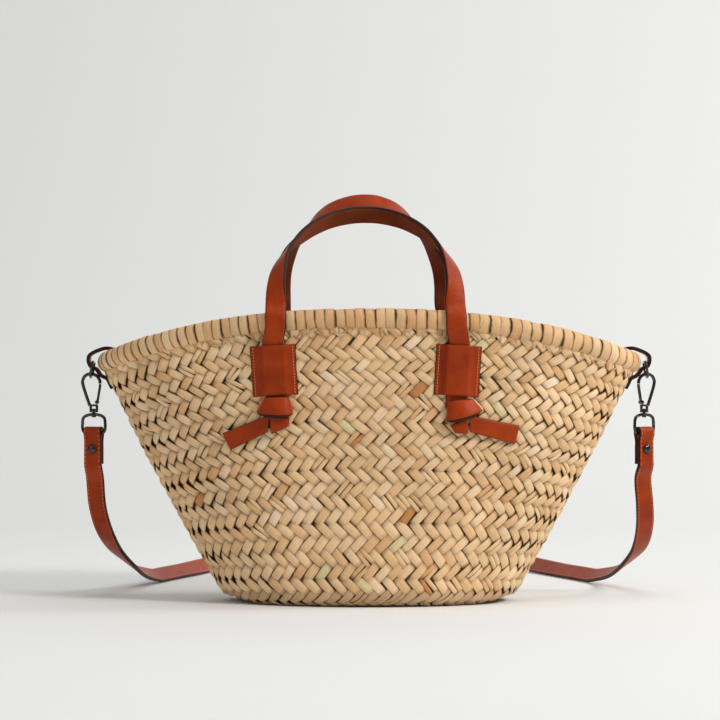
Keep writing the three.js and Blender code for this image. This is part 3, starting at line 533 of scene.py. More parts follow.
def wall_depth(x, z):
    """How far the wall's face stands from the middle plane at a place on the front or back. The
    share of height depends on the arch above that place, so it is found by a few steps."""
    height = z / wall_top(0.0)
    for step in range(8):
        half = wall_size(height)
        height = z / wall_top(np.minimum(np.abs(x) / half[..., 0], 1))
    half = wall_size(height)
    return half[..., 1] * np.sqrt(1 - (x / half[..., 0]) ** 2)


def on_corner(corner, across, up, out):
    """A place in front of the wall, across and up in a frame turned with the patch."""
    tilt = math.radians(patch_tilt) * -corner["side"]
    x = corner["side"] * handle_half_span + handle_shift + across * math.cos(tilt) - up * math.sin(tilt)
    z = patch_top - patch_height / 2 + across * math.sin(tilt) + up * math.cos(tilt)
    return np.stack([x, corner["face"] * (wall_depth(x, z) + out), z], -1)


def leather(name, colour, roughness, grain):
    """Smooth cowhide: dyed through, with cloudy patches about 15 mm wide, pores 0.7 mm apart as
    bump, and a thin wax finish. Grain is the pores' depth in millimetres."""
    material, output = new_material(name)
    place = add_node(material, "ShaderNodeTexCoord")
    cloud = add_node(material, "ShaderNodeTexNoise", {
        "Vector": place.outputs["Object"], "Scale": 65.0, "Detail": 3.0})
    tone = add_node(material, "ShaderNodeValToRGB", {"Fac": cloud.outputs["Fac"]}, [
        (0.3, colour[0]), (0.7, colour[1])])
    pore = add_node(material, "ShaderNodeTexVoronoi", {
        "Vector": place.outputs["Object"], "Scale": 1400.0}, feature="SMOOTH_F1")
    crease = add_node(material, "ShaderNodeTexNoise", {
        "Vector": place.outputs["Object"], "Scale": 420.0, "Detail": 3.0})
    height = add_node(material, "ShaderNodeMath", {
        0: pore.outputs["Distance"], 1: crease.outputs["Fac"]}, operation="ADD")
    bump = add_node(material, "ShaderNodeBump", {
        "Height": height.outputs[0], "Strength": 0.35, "Distance": grain * 0.001})
    surface = add_node(material, "ShaderNodeBsdfPrincipled", {
        "Base Color": tone.outputs["Color"], "Roughness": roughness, "Specular IOR Level": 0.14,
        "Normal": bump.outputs["Normal"]})
    material.node_tree.links.new(surface.outputs[0], output.inputs["Surface"])
    return material


# The hide side is waxed and shines softly, the back of the hide is matt and darker, partly its own colour and
# partly painted shade, and cut edges are painted dark.
hide = leather("cowhide_cognac_waxed", ("#8E2D07", "#A93D0A"), 0.36, 0.5)
hide_back_with_painted_shade = leather("cowhide_flesh_side_with_painted_shade", ("#6C2E17", "#7E3B20"), 0.75, 0.3)
edge_paint = leather("leather_edge_paint_brown", ("#2A130F", "#381E17"), 0.42, 0.05)


def leather_ring(places, crown=0.0):
    """Section of a leather strip as [across, out] shares of its half width and half thickness:
    the two faces, with small rounded corners. Places are those on a face, from edge to edge."""
    face = [(-1.0, 0.35), *[(a, 1.0 - crown * a * a) for a in places], (1.0, 0.35)]
    return np.array(face + [(a, -o) for a, o in reversed(face)])


def edge_places(ring):
    """The ring places whose faces are the strip's painted edges."""
    half = len(ring) // 2
    return [0, half - 2, half - 1, half, len(ring) - 2, len(ring) - 1]


patch_half_across = np.array([0.25, 0.4, 0.46, 0.52, 0.62, 0.8, 0.965])
patch_across = np.concatenate([-patch_half_across[::-1], [0], patch_half_across])
patch_ring = leather_ring(patch_across)
patch_up = np.array([-0.5, -0.485, -0.46, *np.linspace(-0.4, 0.4, 13), 0.46, 0.485, 0.5]) * patch_height


def channel_rise(up):
    """The channel's extra height, growing with the square of the share up the patch."""
    return patch_top_lift * np.maximum(up / patch_height + 0.5, 0) ** 2


def patch_face(corner, across, up, out):
    """A place on a patch: flat seams at the sides and a smooth step up over the handle's end."""
    step = np.clip((0.66 - np.abs(across) / (patch_width / 2)) / 0.18, 0, 1)
    raised = step * step * (3 - 2 * step) * (handle_thickness + gap + channel_rise(up))
    return on_corner(corner, across, up, gap + raised + out)


def stitch_row(points, forward, outward, length, thick):
    """Stitches: short rounded tubes at points, lying along forward and half sunk into the face."""
    side = np.cross(forward, outward)
    e = np.array([-1, -0.75, 0, 0.75, 1])[None, :, None, None]
    fat = np.sqrt(np.array([0.02, 0.55, 1, 0.55, 0.02]))[None, :, None, None] * thick / 2
    turn = np.radians(np.arange(6) * 60 + 30)[None, None, :, None]
    return (points[:, None, None] + forward[:, None, None] * e * length / 2
            + side[:, None, None] * fat * np.cos(turn) + outward[:, None, None] * fat * np.sin(turn))


# Waxed linen thread: paler than the leather, so that the stitches show as light dots.
thread, thread_output = new_material("waxed_linen_thread")
thread_surface = add_node(thread, "ShaderNodeBsdfPrincipled", {
    "Base Color": linear("#D08A55"), "Roughness": 0.6})
thread.node_tree.links.new(thread_surface.outputs[0], thread_output.inputs["Surface"])

patch_stitches = []
for corner in corners:
    up, place = np.meshgrid(patch_up, np.arange(len(patch_ring)), indexing="ij")
    end = np.clip((patch_height / 2 - np.abs(up)) / 0.6, 0.35, 1)
    across = patch_ring[place, 0] * patch_width / 2
    out = patch_thickness / 2 + patch_ring[place, 1] * end * patch_thickness / 2
    add_piece(f"patch_{corner['name']}_leather", patch_face(corner, across, up, out)[None],
              [hide, edge_paint], second=edge_places(patch_ring),
              replaces=[f"patch_{corner['name']}"])
    stitch_up = np.arange(-0.45, 0.451, 0.9 / 15) * patch_height
    for side in (-1, 1):
        at = np.full_like(stitch_up, side * (patch_width / 2 - 2.1))
        lower, upper = (
            patch_face(corner, at, stitch_up + d, np.full_like(at, patch_thickness)) for d in (-0.5, 0.5))
        forward = (upper - lower) / np.linalg.norm(upper - lower, axis=1, keepdims=True)
        outward = np.cross(forward, [1.0, 0, 0]) * -corner["face"]
        outward *= np.sign(outward[:, 1:2] * corner["face"])
        patch_stitches.append(stitch_row((lower + upper) / 2, forward, outward, 1.5, 0.75))
add_piece("patch_stitches", np.concatenate(patch_stitches), [thread])

# Handles: one strip of cowhide each, 14 mm wide with painted edges. A leg comes up out of its
# patch, leans in over the rim and turns edge up on its way to the top.
front_handle_rise = 71.0
back_handle_rise = 81.3
handle_lean = 58.0
# Shares of the half span, the lean and the rise, then the direction of the edge that lies nearest
# the middle on the legs and on top at the apex.
handle_legs = np.array([
    [0.98, 0.1, 0.04, 0.98, -0.1, 0], [0.979, 0.15, 0.237, 0.81, -0.58, 0],
    [0.957, 0.22, 0.38, 0.64, -0.76, 0], [0.91, 0.31, 0.51, 0.38, -0.91, 0.05],
    [0.84, 0.41, 0.625, 0.14, -0.97, 0.17], [0.706, 0.6, 0.755, 0, -0.9, 0.45],
    [0.556, 0.76, 0.858, 0, -0.8, 0.6], [0.37, 0.89, 0.942, 0, -0.74, 0.67],
    [0.14, 0.98, 0.993, 0, -0.7, 0.71], [0, 1, 1, 0, -0.7, 0.72],
])
# The back handle leans in a little more and its strip turns edge up later.
back_handle_legs = handle_legs.copy()
back_handle_legs[3:7, 0] -= [0.01, 0.015, 0.02, 0.01]
back_handle_legs[:7, 3:] = [
    [1, 0, 0], [0.95, -0.3, 0], [0.85, -0.5, 0], [0.72, -0.68, 0.1], [0.55, -0.8, 0.2], [0.3, -0.85, 0.4],
    [0.1, -0.8, 0.6]]


def smooth_line(rows, steps, endless=False, centripetal=True):
    """A smooth curve through rows of points: each span is a cubic whose end slopes come from the
    neighbouring points, weighted by the square roots of their distances."""
    rows = np.asarray(rows, float)
    if endless:
        padded = np.concatenate([rows[-1:], rows, rows[:2]])
    else:
        padded = np.concatenate([2 * rows[:1] - rows[1:2], rows, 2 * rows[-1:] - rows[-2:-1]])
    p0, p1, p2, p3 = padded[:-3], padded[1:-2], padded[2:-1], padded[3:]
    if centripetal:
        d0, d1, d2 = (np.maximum(np.linalg.norm(b - a, axis=1, keepdims=True), 1e-9) ** 0.5
                      for a, b in ((p0, p1), (p1, p2), (p2, p3)))
        m1 = ((p1 - p0) / d0 - (p2 - p0) / (d0 + d1) + (p2 - p1) / d1) * d1
        m2 = ((p2 - p1) / d1 - (p3 - p1) / (d1 + d2) + (p3 - p2) / d2) * d1
    else:
        m1, m2 = (p2 - p0) / 2, (p3 - p1) / 2
    t = (np.arange(steps) / steps)[None, :, None]
    p1, p2, m1, m2 = (v[:, None] for v in (p1, p2, m1, m2))
    line = (p1 * (2 * t**3 - 3 * t**2 + 1) + p2 * (3 * t**2 - 2 * t**3)
            + m1 * (t**3 - 2 * t**2 + t) + m2 * (t**3 - t**2))
    line = line.reshape(-1, 3)
    return line if endless else np.concatenate([line, rows[-1:]])


def strip_frame(centres, edges, endless=False):
    """Unit directions along, across and out of the face at each station of a strip."""
    if endless:
        along = np.roll(centres, -1, 0) - np.roll(centres, 1, 0)
    else:
        along = np.gradient(centres, axis=0)
    along /= np.linalg.norm(along, axis=1, keepdims=True)
    edge = edges - along * np.sum(edges * along, 1, keepdims=True)
    edge /= np.linalg.norm(edge, axis=1, keepdims=True)
    return along, edge, np.cross(edge, along)


def swept(centres, edges, ring, width, thickness, endless=False):
    """A section carried along a strip's stations. Ring holds shares of the half width and half
    thickness."""
    along, edge, face = strip_frame(centres, edges, endless)
    return (centres[:, None] + edge[:, None] * (ring[None, :, :1] * width / 2)
            + face[:, None] * (ring[None, :, 1:] * thickness / 2))[None]


def rim_clear_depth(x):
    """How far from the middle plane a handle's leg passes the rim's coil."""
    middle = rim_half[1] * np.sqrt(1 - (x / rim_half[0]) ** 2)
    return middle + coil_width / 2 + 3 * gap + handle_thickness / 2


def leg_rows(corner):
    """Rows of a leg from the knot up under its patch and past the rim: middles and edges."""
    half = handle_width / 2
    ups = np.array([-0.75, -0.5, -0.25, 0, 0.25, 0.5]) * patch_height
    outs = gap + handle_thickness / 2 + channel_rise(ups)
    middles = on_corner(corner, 0 * ups, ups, outs)
    edges = (on_corner(corner, 0 * ups - corner["side"] * half, ups, outs)
             - on_corner(corner, 0 * ups + corner["side"] * half, ups, outs))
    x = corner["side"] * handle_half_span * 0.982 + handle_shift
    for z in (coil_centre_height(x) - coil_height / 4, coil_centre_height(x) + coil_height / 4):
        ends = [np.array([at, corner["face"] * rim_clear_depth(at), z])
                for at in (x, x - corner["side"] * half, x + corner["side"] * half)]
        middles = np.append(middles, ends[:1], 0)
        edges = np.append(edges, [ends[1] - ends[2]], 0)
    return middles, edges / np.linalg.norm(edges, axis=1, keepdims=True)


def handle_rows(face, rise, table, right_shift):
    """Rows of a whole handle from the left knot over the top to the right one. The right leg is
    shifted at its foot, a little more above it, and not at the top."""
    left, right = ([c for c in corners if c["face"] == face and c["side"] == side][0] for side in (-1, 1))
    start = rim_clear_depth(handle_half_span)
    drop = rise - handle_width / 2 * handle_legs[-1, 5]

    def arch(side, legs):
        shift = (side > 0) * right_shift * (1 + legs[:, 2]) * np.sqrt(1 - legs[:, 2] ** 4)
        middles = np.stack([side * legs[:, 0] * handle_half_span + handle_shift + shift,
                            face * (start - legs[:, 1] * handle_lean), rim_top + legs[:, 2] * drop], -1)
        return middles, np.stack([-side * legs[:, 3], -face * legs[:, 4], legs[:, 5]], -1)

    parts = [leg_rows(left), arch(-1, table), arch(1, table[-2::-1]),
             tuple(v[::-1] for v in leg_rows(right))]
    for part in parts[2:]:
        part[1][:, 0] = -np.abs(part[1][:, 0])
    return np.concatenate([p[0] for p in parts]), np.concatenate([p[1] for p in parts])


handle_ring = leather_ring(np.array([-0.95, -0.7, -0.35, 0, 0.35, 0.7, 0.95]), 0.12)
for name, face, rise, table, right_shift in (
        ("handle_front", -1, front_handle_rise, handle_legs, -0.6),
        ("handle_back", 1, back_handle_rise, back_handle_legs, -3.6)):
    middles, edges = handle_rows(face, rise, table, right_shift)
    points = swept(smooth_line(middles, 8), smooth_line(edges, 8, centripetal=False), handle_ring,
                   handle_width, handle_thickness)
    half = len(handle_ring) // 2
    # Faces on the back of the hide take the third leather, darker partly as painted shade.
    inner = np.arange(1, half - 2) + (half if face < 0 else 0)
    add_piece(f"{name}_strip", points, [hide, edge_paint, hide_back_with_painted_shade], second=edge_places(handle_ring),
              third=inner, replaces=[name])

# Knots: each end of a handle is knotted below its patch. A cone-shaped turn of the strip goes round
# the leg, its painted lower edge standing out, and under it one end folds across in front and the
# other lies on the plait.
# Seen from the front, [x, z] of the turn's top left, top right, bottom left and bottom right
# corners, then the same for the fold and for the end, each from the knot outwards.
left_knot = {
    "turn": [(-69.8, 142.8), (-55.6, 143.6), (-75.8, 131.6), (-52.2, 130.6)],
    "fold": [(-67.3, 129.8), (-66.3, 117.8), (-54.0, 129.2), (-54.4, 123.2)],
    "end": [(-67.4, 131.0), (-69.0, 119.0), (-100.0, 118.1), (-94.6, 106.7)],
}
right_knot = {
    "turn": [(54.6, 140.9), (68.9, 141.9), (52.6, 126.0), (76.0, 133.0)],
    "fold": [(66.4, 129.0), (66.8, 118.0), (54.8, 123.6), (58.0, 118.4)],
    "end": [(67.6, 130.6), (68.4, 119.1), (102.3, 123.2), (99.3, 110.7)],
}


def knot_strip(corner, places, out_start, out_end, thickness, crown):
    """A short piece of strip between its two ends, given by their two corners each. It stands out
    from the plait by one amount at its start and another at its end."""
    e = np.concatenate([[0, 0.02], np.linspace(0.06, 0.94, 16), [0.98, 1.0]])[:, None]
    s = (handle_ring[None, :, 0] + 1) / 2
    top, bottom, far_top, far_bottom = np.array(places)[:, :, None, None]
    x, z = [(top[i] * (1 - e) + far_top[i] * e) * s + (bottom[i] * (1 - e) + far_bottom[i] * e) * (1 - s)
            for i in (0, 1)]
    middle = out_start + (out_end - out_start) * e + crown * (1 - (2 * e - 1) ** 2)
    out = middle + handle_ring[None, :, 1] * thickness / 2
    return np.stack([x, corner["face"] * (wall_depth(x, z) + out), z], -1)[None]


for corner in corners:
    knot = left_knot if corner["side"] < 0 else right_knot
    around = np.linspace(0, 2 * np.pi, 56, endpoint=False)[:, None]
    section = leather_ring(np.array([-0.92, -0.6, -0.2, 0.2, 0.6, 0.92]), 0.06)
    down = (section[None, :, 0] + 1) / 2
    thick = section[None, :, 1] * 1.3
    u = np.cos(around)
    top_left, top_right, low_left, low_right = np.array(knot["turn"])[:, :, None, None]
    x, z = [(top_left[i] * (1 - down) + low_left[i] * down) * (1 - u) / 2
            + (top_right[i] * (1 - down) + low_right[i] * down) * (1 + u) / 2 for i in (0, 1)]
    front = np.maximum(np.sin(around), 0)
    lean = 2.2 * down
    z = z - 2.6 * front * down + 0.95 * thick * front * down + 0.8 * down
    x = x + thick * u * 0.8
    out = 5.4 + (3.0 + lean * 1.9) * np.sin(around) + thick * np.sin(around)
    out = np.maximum(out, 1.2 + 0.3 * section[None, :, 1])
    turn_points = np.stack([x, corner["face"] * (wall_depth(x, z) + out), z], -1)
    add_piece(f"knot_{corner['name']}_turn", turn_points[None], [hide, edge_paint], endless=True,
              second=edge_places(section))
    for part, start, end, crown in (("fold", 5.2, 4.2, 1.0), ("end", 4.4, 3.0, 0.6)):
        points = knot_strip(corner, knot[part], start, end, handle_thickness, crown)
        add_piece(f"knot_{corner['name']}_{part}", points, [hide, edge_paint],
                  second=edge_places(handle_ring))

# Side tabs: a strip of cowhide 12 mm wide that comes up inside the wall, goes over the rim's coil
# and makes a small loop outside it for the ring, sewn down on the wall.
tab_width = 12.0
tab_thickness = 2.6
tab_loop_reach = 6.0
tab_inner_leg = 30.0
tab_outer_leg = 11.0
coil_end_height = coil_centre_height(rim_half[0])
end_flare = math.atan2(wall_half[0] - base_half[0], wall_top(1.0))
tab_seat = ((gap + tab_thickness / 2) / math.cos(end_flare)
            + tab_width**2 / 8 / (rim_half[1] ** 2 / rim_half[0]))
coil_out = rim_half[0] + coil_width / 2
coil_in = rim_half[0] - coil_width / 2
coil_top = coil_end_height + coil_height / 2
coil_foot = coil_end_height - coil_height / 2
coil_foot_out = rim_half[0] + coil_width / 2 * math.sin(math.pi / 10)
loop_out = coil_out + tab_loop_reach


def wall_end(z):
    """How far the wall's face stands from the middle at its two ends."""
    return wall_size(z / wall_top(1.0))[..., 0]


tab_inner_z = coil_end_height - np.array([1, 0.75, 0.5]) * tab_inner_leg
tab_outer_z = coil_foot - np.array([0.4, 0.7, 1]) * tab_outer_leg
tab_inner_x = np.minimum(
    wall_end(tab_inner_z) - wall_thickness / math.cos(end_flare) - tab_seat - gap, coil_in - tab_seat)
tab_rows = np.array([
    *zip(tab_inner_x, tab_inner_z),
    (coil_in - tab_seat, coil_end_height - coil_height / 4),
    (coil_in - tab_seat, coil_end_height + coil_height / 5),
    (coil_in + coil_width / 12, coil_top + tab_seat / 2),
    (rim_half[0], coil_top + tab_seat),
    (coil_out - coil_width / 10, coil_top + tab_seat / 2),
    (loop_out - tab_loop_reach / 8, coil_end_height + coil_height / 3),
    (loop_out, coil_end_height + coil_height / 12),
    (loop_out - tab_loop_reach / 4, coil_end_height - coil_height / 5),
    (coil_out + tab_seat / 3, coil_foot + tab_seat),
    (coil_foot_out + tab_seat * 0.7, coil_foot - tab_seat * 0.8),
    *zip(wall_end(tab_outer_z) + tab_seat, tab_outer_z),
])
for name, side in (("side_tab_left", -1), ("side_tab_right", 1)):
    middles = np.stack([side * tab_rows[:, 0], 0 * tab_rows[:, 0], tab_rows[:, 1]], -1)
    line = smooth_line(middles, 8)
    points = swept(line, np.tile([0, 1.0, 0], (len(line), 1)), handle_ring, tab_width, tab_thickness)
    add_piece(f"{name}_strip", points, [hide, edge_paint], second=edge_places(handle_ring),
              replaces=[name])


# Tab rings: bent and soldered steel wire with a black nickel finish, straight at the top where the
# leather holds them.
def plated(name, colour, roughness):
    """Polished and plated metal: one colour, with faint handling marks about 3 mm wide that only
    change how sharp the reflection is."""
    material, output = new_material(name)
    place = add_node(material, "ShaderNodeTexCoord")
    marks = add_node(material, "ShaderNodeTexNoise", {
        "Vector": place.outputs["Object"], "Scale": 330.0, "Detail": 4.0})
    gloss = add_node(material, "ShaderNodeMapRange", {
        "Value": marks.outputs["Fac"], "From Min": 0.3, "From Max": 0.7,
        "To Min": roughness * 0.7, "To Max": roughness * 1.4})
    surface = add_node(material, "ShaderNodeBsdfPrincipled", {
        "Base Color": linear(colour), "Metallic": 1.0, "Roughness": gloss.outputs["Result"]})
    material.node_tree.links.new(surface.outputs[0], output.inputs["Surface"])
    return material


# Black nickel is dark and smooth, so it shows the lights as thin bright lines.
nickel = plated("zinc_alloy_black_nickel_plated", "#4C4946", 0.1)


def round_ring(count):
    """A round section as shares of the radius."""
    turn = 2 * np.pi * (np.arange(count) + 0.5) / count
    return np.stack([np.cos(turn), np.sin(turn)], -1)


def round_wire(rows, across, diameter, endless=False):
    """A round wire bent along a smooth curve through rows of points."""
    line = smooth_line(rows, 8, endless=endless)
    return swept(line, np.tile(across, (len(line), 1)), round_ring(16), diameter, diameter, endless)


tab_ring_wire = 2.0
tab_ring_half_width = 8.2
tab_ring_drop = 10.5
tab_ring_tilt = 1.8
tab_ring_x = loop_out - tab_thickness / 2 - 3 * gap - tab_ring_wire / 2
d_outline = np.array([
    [-0.6, 0], [0.6, 0], [0.97, 0.1], [1, 0.45], [0.76, 0.84], [0, 1], [-0.76, 0.84], [-1, 0.45],
    [-0.97, 0.1]])
for name, side in (("tab_ring_left", -1), ("tab_ring_right", 1)):
    rows = np.stack([side * (tab_ring_x + tab_ring_tilt * d_outline[:, 1]),
                     side * d_outline[:, 0] * tab_ring_half_width,
                     coil_end_height - d_outline[:, 1] * tab_ring_drop], -1)
    normal = np.cross(rows[1] - rows[0], rows[5] - rows[0])
    add_piece(f"{name}_wire", round_wire(rows, normal, tab_ring_wire, True), [nickel], endless=True,
              replaces=[name])

# Snap hooks: cast zinc alloy, polished and plated. The hook swivels on the loop below it, and a
# sprung gate closes its mouth on the side of the bag.
hook_wire = 2.3
hook_height = 21.6
hook_half_width = 7.6
barrel_diameter = 6.2
barrel_height = 5.4
barrel_wall = 1.2
swivel_x = tab_ring_x + tab_ring_tilt - 0.27 * hook_half_width
barrel_top = coil_end_height - tab_ring_drop + tab_ring_wire / 2 + gap + hook_wire / 2 - hook_height
hook_turn = {"left": 0, "right": 20}
strap_turn = {"left": 18, "right": 35}
hook_outline = np.array([
    [0.36, -0.04], [0.7, 0.3], [0.98, 0.62], [1.03, 0.76], [0.8, 0.93], [0.27, 1], [-0.25, 0.93],
    [-0.53, 0.79], [-0.58, 0.68]])


def at_hook(points, end, turn):
    """Points in the hook's own frame, u away from the bag, moved to the left or right end."""
    side = -1 if end == "left" else 1
    angle = math.radians(turn) * side + (math.pi if side < 0 else 0)
    c, s = math.cos(angle), math.sin(angle)
    return np.stack([side * swivel_x + points[..., 0] * c - points[..., 1] * s,
                     points[..., 0] * s + points[..., 1] * c, barrel_top + points[..., 2]], -1)


def add_hook_part(name, points, end, turn, endless=False, body="bag", replaces=()):
    """One metal piece given in the hook's own frame, at the left or right end."""
    add_piece(name, at_hook(points, end, turn), [nickel], endless=endless, body=body,
              replaces=replaces)


def turned(profile, count=32):
    """A closed profile of [radius, height] turned about the upright axis, as one endless tube."""
    turn = np.linspace(0, 2 * np.pi, count, endpoint=False)[:, None]
    r, z = np.asarray(profile, float).T
    return np.stack([r * np.cos(turn), r * np.sin(turn), z + 0 * turn], -1)[None]


def bar_between(a, b, radius, count=16):
    """A round bar between two points, its ends a little rounded."""
    a, b = np.asarray(a, float), np.asarray(b, float)
    e = np.array([0, 0.04, 0.1, 0.9, 0.96, 1.0])[:, None]
    line = a + (b - a) * e
    helper = np.array([0, 0, 1.0]) if abs((b - a)[2]) < np.linalg.norm(b - a) * 0.9 else np.array([1.0, 0, 0])
    _, edge, face = strip_frame(line, np.tile(helper, (6, 1)))
    fat = np.array([0.8, 0.95, 1, 1, 0.95, 0.8])[:, None, None] * radius
    ring = round_ring(count)[None]
    return (line[:, None] + edge[:, None] * ring[..., :1] * fat + face[:, None] * ring[..., 1:] * fat)[None]


gate_width = 1.8
gate_foot = np.array([-0.3 * hook_half_width, 0, 1.7])
gate_tip = np.array([-0.57 * hook_half_width, 0, 0.68 * hook_height - gap])
cage_radius = barrel_diameter / 2
cage_hole = 1.35
post_radius = 0.95
for end in ("left", "right"):
    body = f"hook_{end}"
    turn = hook_turn[end]
    rows = np.stack([hook_outline[:, 0] * hook_half_width, 0 * hook_outline[:, 0],
                     hook_outline[:, 1] * hook_height], -1)
    wire = round_wire(rows, [0, 1.0, 0], hook_wire)
    add_hook_part(f"{body}_wire", wire, end, turn, body=body, replaces=[body])
    upper = turned([(0.2, -barrel_wall), (cage_radius * 0.9, -barrel_wall), (cage_radius, -0.9),
                    (cage_radius, -0.4), (cage_radius * 0.8, 0.1), (0.2, 0.5)])
    lower = turned([(cage_hole, -barrel_height), (cage_radius * 0.9, -barrel_height),
                    (cage_radius, 0.3 - barrel_height), (cage_radius, 0.9 - barrel_height),
                    (cage_radius * 0.9, barrel_wall - barrel_height),
                    (cage_hole, barrel_wall - barrel_height)])
    add_hook_part(f"{body}_cage_cap", upper, end, turn, endless=True, body=body)
    add_hook_part(f"{body}_cage_foot", lower, end, turn, endless=True, body=body)
    post = np.array([cage_radius - post_radius, 0, 0])
    post_ends = np.array([[0, 0, 0.3 - barrel_wall], [0, 0, barrel_wall - 0.3 - barrel_height]])
    posts = np.concatenate([bar_between(*(side * post + post_ends), post_radius) for side in (-1, 1)])
    add_hook_part(f"{body}_cage_posts", posts, end, turn, body=body)
    ears = np.concatenate([
        bar_between(gate_foot + [0, side * 1.2, 0], gate_foot + [0, side * 2.0, 0], 1.4) for side in (-1, 1)])
    add_hook_part(f"{body}_ears", ears, end, turn, body=body)
    lever = np.linspace(gate_foot, gate_tip, 9)
    lever[1:-1, 0] -= 0.25
    lever_ring = leather_ring(np.array([-0.8, 0, 0.8]), 0.1)
    gate = swept(lever, np.tile([0, 1.0, 0], (9, 1)), lever_ring, gate_width, gate_width)
    add_hook_part(f"hook_gate_{end}_lever", gate, end, turn, body=f"gate_{end}",
                  replaces=[f"hook_gate_{end}"])
    eye = bar_between(gate_foot + [0, -0.9, 0], gate_foot + [0, 0.9, 0], 1.38)
    add_hook_part(f"hook_gate_{end}_eye", eye, end, turn, body=f"gate_{end}")

# Swivel loops: each a cast loop with a stud that turns in the hook's cage. The strap is folded
# over its lower bar.
strap_ring_wire = 2.2
strap_ring_half_width = 8.4
strap_ring_height = 14.4
strap_ring_top = -barrel_height - gap - strap_ring_wire / 2 - 0.5
strap_bar_drop = strap_ring_height - strap_ring_wire
loop_outline = np.array([
    [-0.5, 0], [0.5, 0], [0.93, 0.16], [1.02, 0.5], [1, 0.84], [0.82, 1], [-0.82, 1], [-1, 0.84],
    [-1.02, 0.5], [-0.93, 0.16]])
for end in ("left", "right"):
    rows = np.stack([loop_outline[:, 0] * strap_ring_half_width, 0 * loop_outline[:, 0],
                     strap_ring_top - loop_outline[:, 1] * strap_bar_drop], -1)
    loop = round_wire(rows, [0, 1.0, 0], strap_ring_wire, True)
    add_hook_part(f"strap_ring_{end}_loop", loop, end, strap_turn[end], endless=True,
                  replaces=[f"strap_ring_{end}"])
    foot = strap_ring_top - strap_ring_wire * 0.75
    head = -barrel_height + barrel_wall + gap
    stud = turned([(0.15, foot), (1.3, foot), (1.6, foot + 0.3), (1.6, strap_ring_top + 0.8),
                   (1.3, strap_ring_top + 1.15), (1.0, strap_ring_top + 1.3), (1.0, head), (1.6, head),
                   (1.7, head + 0.3), (1.5, head + 0.7), (0.9, head + 1), (0.15, head + 1)])
    add_hook_part(f"strap_ring_{end}_stud", stud, end, strap_turn[end], endless=True)

# Shoulder strap: one strip of cowhide 13 mm wide, stitched along both edges. Its ends are folded
# round the swivel loops; it hangs from them, turns and lies behind the bag in one wide loop.
strap_width = 13.0
strap_thickness = 2.8
strap_loop_depth = 415.0
strap_flap_length = 22.0
strap_bar_height = barrel_top + strap_ring_top - strap_bar_drop
fold_radius = strap_ring_wire / 2 + gap + strap_thickness / 2
layer_offset = strap_thickness / 2 + gap / 2
# Shares of the hooks' half distance at the left and right end, of the loop's depth and of the bar's
# height, then the direction of the edge that is nearest the bag.
strap_route = np.array([
    [1, 1, 0.022, 0.725, 0.99, -0.14, -0.02], [0.997, 1.012, 0.048, 0.563, 0.98, -0.2, -0.04],
    [0.983, 1.02, 0.087, 0.419, 0.97, -0.24, -0.07], [0.953, 1.012, 0.145, 0.278, 0.9, -0.36, -0.26],
    [0.909, 0.978, 0.205, 0.175, 0.79, -0.41, -0.47], [0.877, 0.943, 0.275, 0.1, 0.72, -0.37, -0.59],
    [0.845, 0.9, 0.345, 0.06, 0.7, -0.3, -0.65], [0.805, 0.85, 0.415, 0.03, 0.71, -0.24, -0.66],
    [0.74, 0.775, 0.51, 0, 0.73, -0.16, -0.67], [0.655, 0.68, 0.635, 0, 0.6, -0.13, -0.79],
    [0.59, 0.6, 0.771, 0, 0.4, -0.1, -0.9], [0.475, 0.475, 0.892, 0, 0.2, -0.1, -0.97],
    [0.26, 0.26, 0.976, 0, 0, 0, -1],
])


def strap_half(end):
    """Rows of the strap from one flap to near the middle of its loop: middles and edges."""
    side = -1 if end == "left" else 1
    turn = math.radians(strap_turn[end])
    towards = np.array([-side * math.cos(turn), -math.sin(turn), 0])
    back = np.array([-side * math.sin(turn), math.cos(turn), 0])
    fold = np.radians([0, 45, 90, 135, 180])
    share = np.array([0.25, 0.5, 0.75, 1])
    behind = np.concatenate([0 * share + layer_offset, fold_radius * np.cos(fold), 0 * share - layer_offset])
    z = strap_bar_height + np.concatenate([
        -share[::-1] * strap_flap_length, fold_radius * np.sin(fold), -share * strap_flap_length])
    folded = np.array([side * swivel_x, 0, 0]) + back * behind[:, None]
    folded[:, 2] = z
    route = np.stack([
        side * strap_route[:, 0 if side < 0 else 1] * swivel_x, strap_route[:, 2] * strap_loop_depth,
        strap_route[:, 3] * strap_bar_height], -1)
    edges = np.stack([-side * strap_route[:, 4], strap_route[:, 5], strap_route[:, 6]], -1)
    # The strap keeps some of the fold's turn on its way down.
    kept = np.array([0.75, 0.5, 0.25])[:, None]
    edges[:3] = edges[:3] * (1 - kept) + towards * kept
    return np.concatenate([folded, route]), np.concatenate([np.tile(towards, (len(z), 1)), edges])


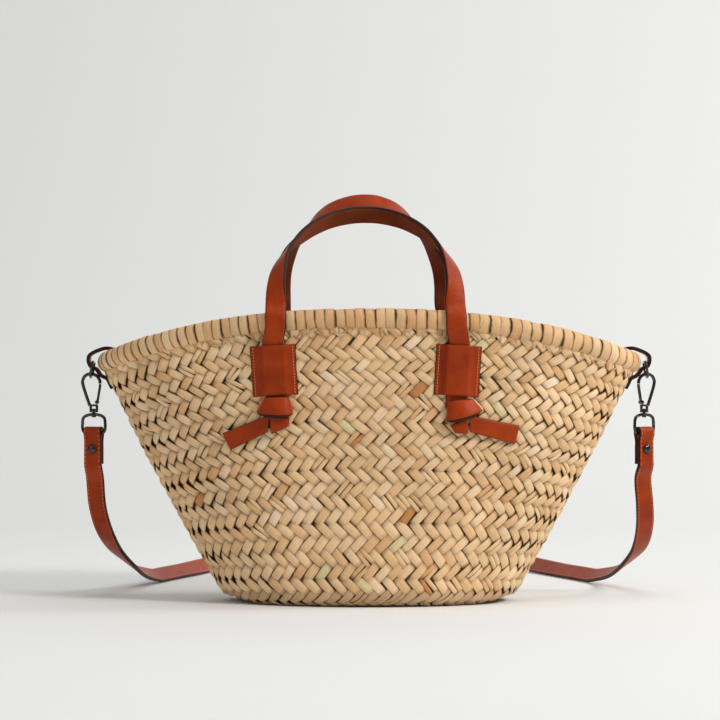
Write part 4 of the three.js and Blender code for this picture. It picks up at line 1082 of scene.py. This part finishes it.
left_rows, right_rows = strap_half("left"), strap_half("right")
strap_middle = [np.array([[0, strap_loop_depth, strap_width / 2]]), np.array([[0, 0, -1.0]])]
strap_line, strap_edges = (
    smooth_line(np.concatenate([left_rows[i], strap_middle[i], right_rows[i][::-1]]), 8, centripetal=i == 0)
    for i in (0, 1))
upright = np.abs(strap_edges[:, 2]) / np.linalg.norm(strap_edges, axis=1)
strap_line[:, 2] = np.maximum(
    strap_line[:, 2], strap_width / 2 * upright + strap_thickness / 2 * np.sqrt(1 - upright**2))
strap_section = leather_ring(np.array([-0.94, -0.8, -0.5, 0, 0.5, 0.8, 0.94]), 0.06)
add_piece("shoulder_strap_strip", swept(strap_line, strap_edges, strap_section, strap_width, strap_thickness),
          [hide, edge_paint], second=edge_places(strap_section), replaces=["shoulder_strap"])

strap_run = np.append(0, np.cumsum(np.linalg.norm(np.diff(strap_line, axis=0), axis=1)))
stitch_at = np.arange(3.0, strap_run[-1] - 3.0, 3.0)
strap_along, strap_edge, strap_face = strip_frame(strap_line, strap_edges)
picked = [np.stack([np.interp(stitch_at, strap_run, v[:, i]) for i in range(3)], -1)
          for v in (strap_line, strap_along, strap_edge, strap_face)]
strap_stitches = np.concatenate([
    stitch_row(picked[0] + picked[2] * side * 5.1 + picked[3] * face * (strap_thickness / 2 - 0.05),
               picked[1], picked[3] * face, 2.0, 0.5)
    for side in (-1, 1) for face in (-1, 1)])
add_piece("shoulder_strap_stitches", strap_stitches, [thread])

# Strap rivets: domed steel rivets with a black nickel finish, driven through both layers of each
# folded end, so that the fold stays closed round its swivel loop.
rivet_drop = 11.5
for end in ("left", "right"):
    side = -1 if end == "left" else 1
    turn = math.radians(strap_turn[end]) * side
    face = layer_offset + strap_thickness / 2 + gap
    dome = np.radians([0, 20, 40, 60, 80])
    profile = [
        (0.1, -face - 0.9), (2.0, -face - 0.9), (2.6, -face - 0.5), (2.8, -face), (1.5, -face), (1.5, face),
        *zip(3.4 * np.cos(dome), face + 1.7 * np.sin(dome)), (0.1, face + 1.7)]
    head = turned(profile)
    lying = np.stack([head[..., 0], -head[..., 2], head[..., 1]], -1)
    c, s = math.cos(turn), math.sin(turn)
    rivet = np.stack([side * swivel_x + lying[..., 0] * c - lying[..., 1] * s,
                      lying[..., 0] * s + lying[..., 1] * c,
                      strap_bar_height - rivet_drop + lying[..., 2]], -1)
    add_piece(f"strap_rivet_{end}_dome", rivet, [nickel], endless=True,
              replaces=[f"strap_rivet_{end}"])
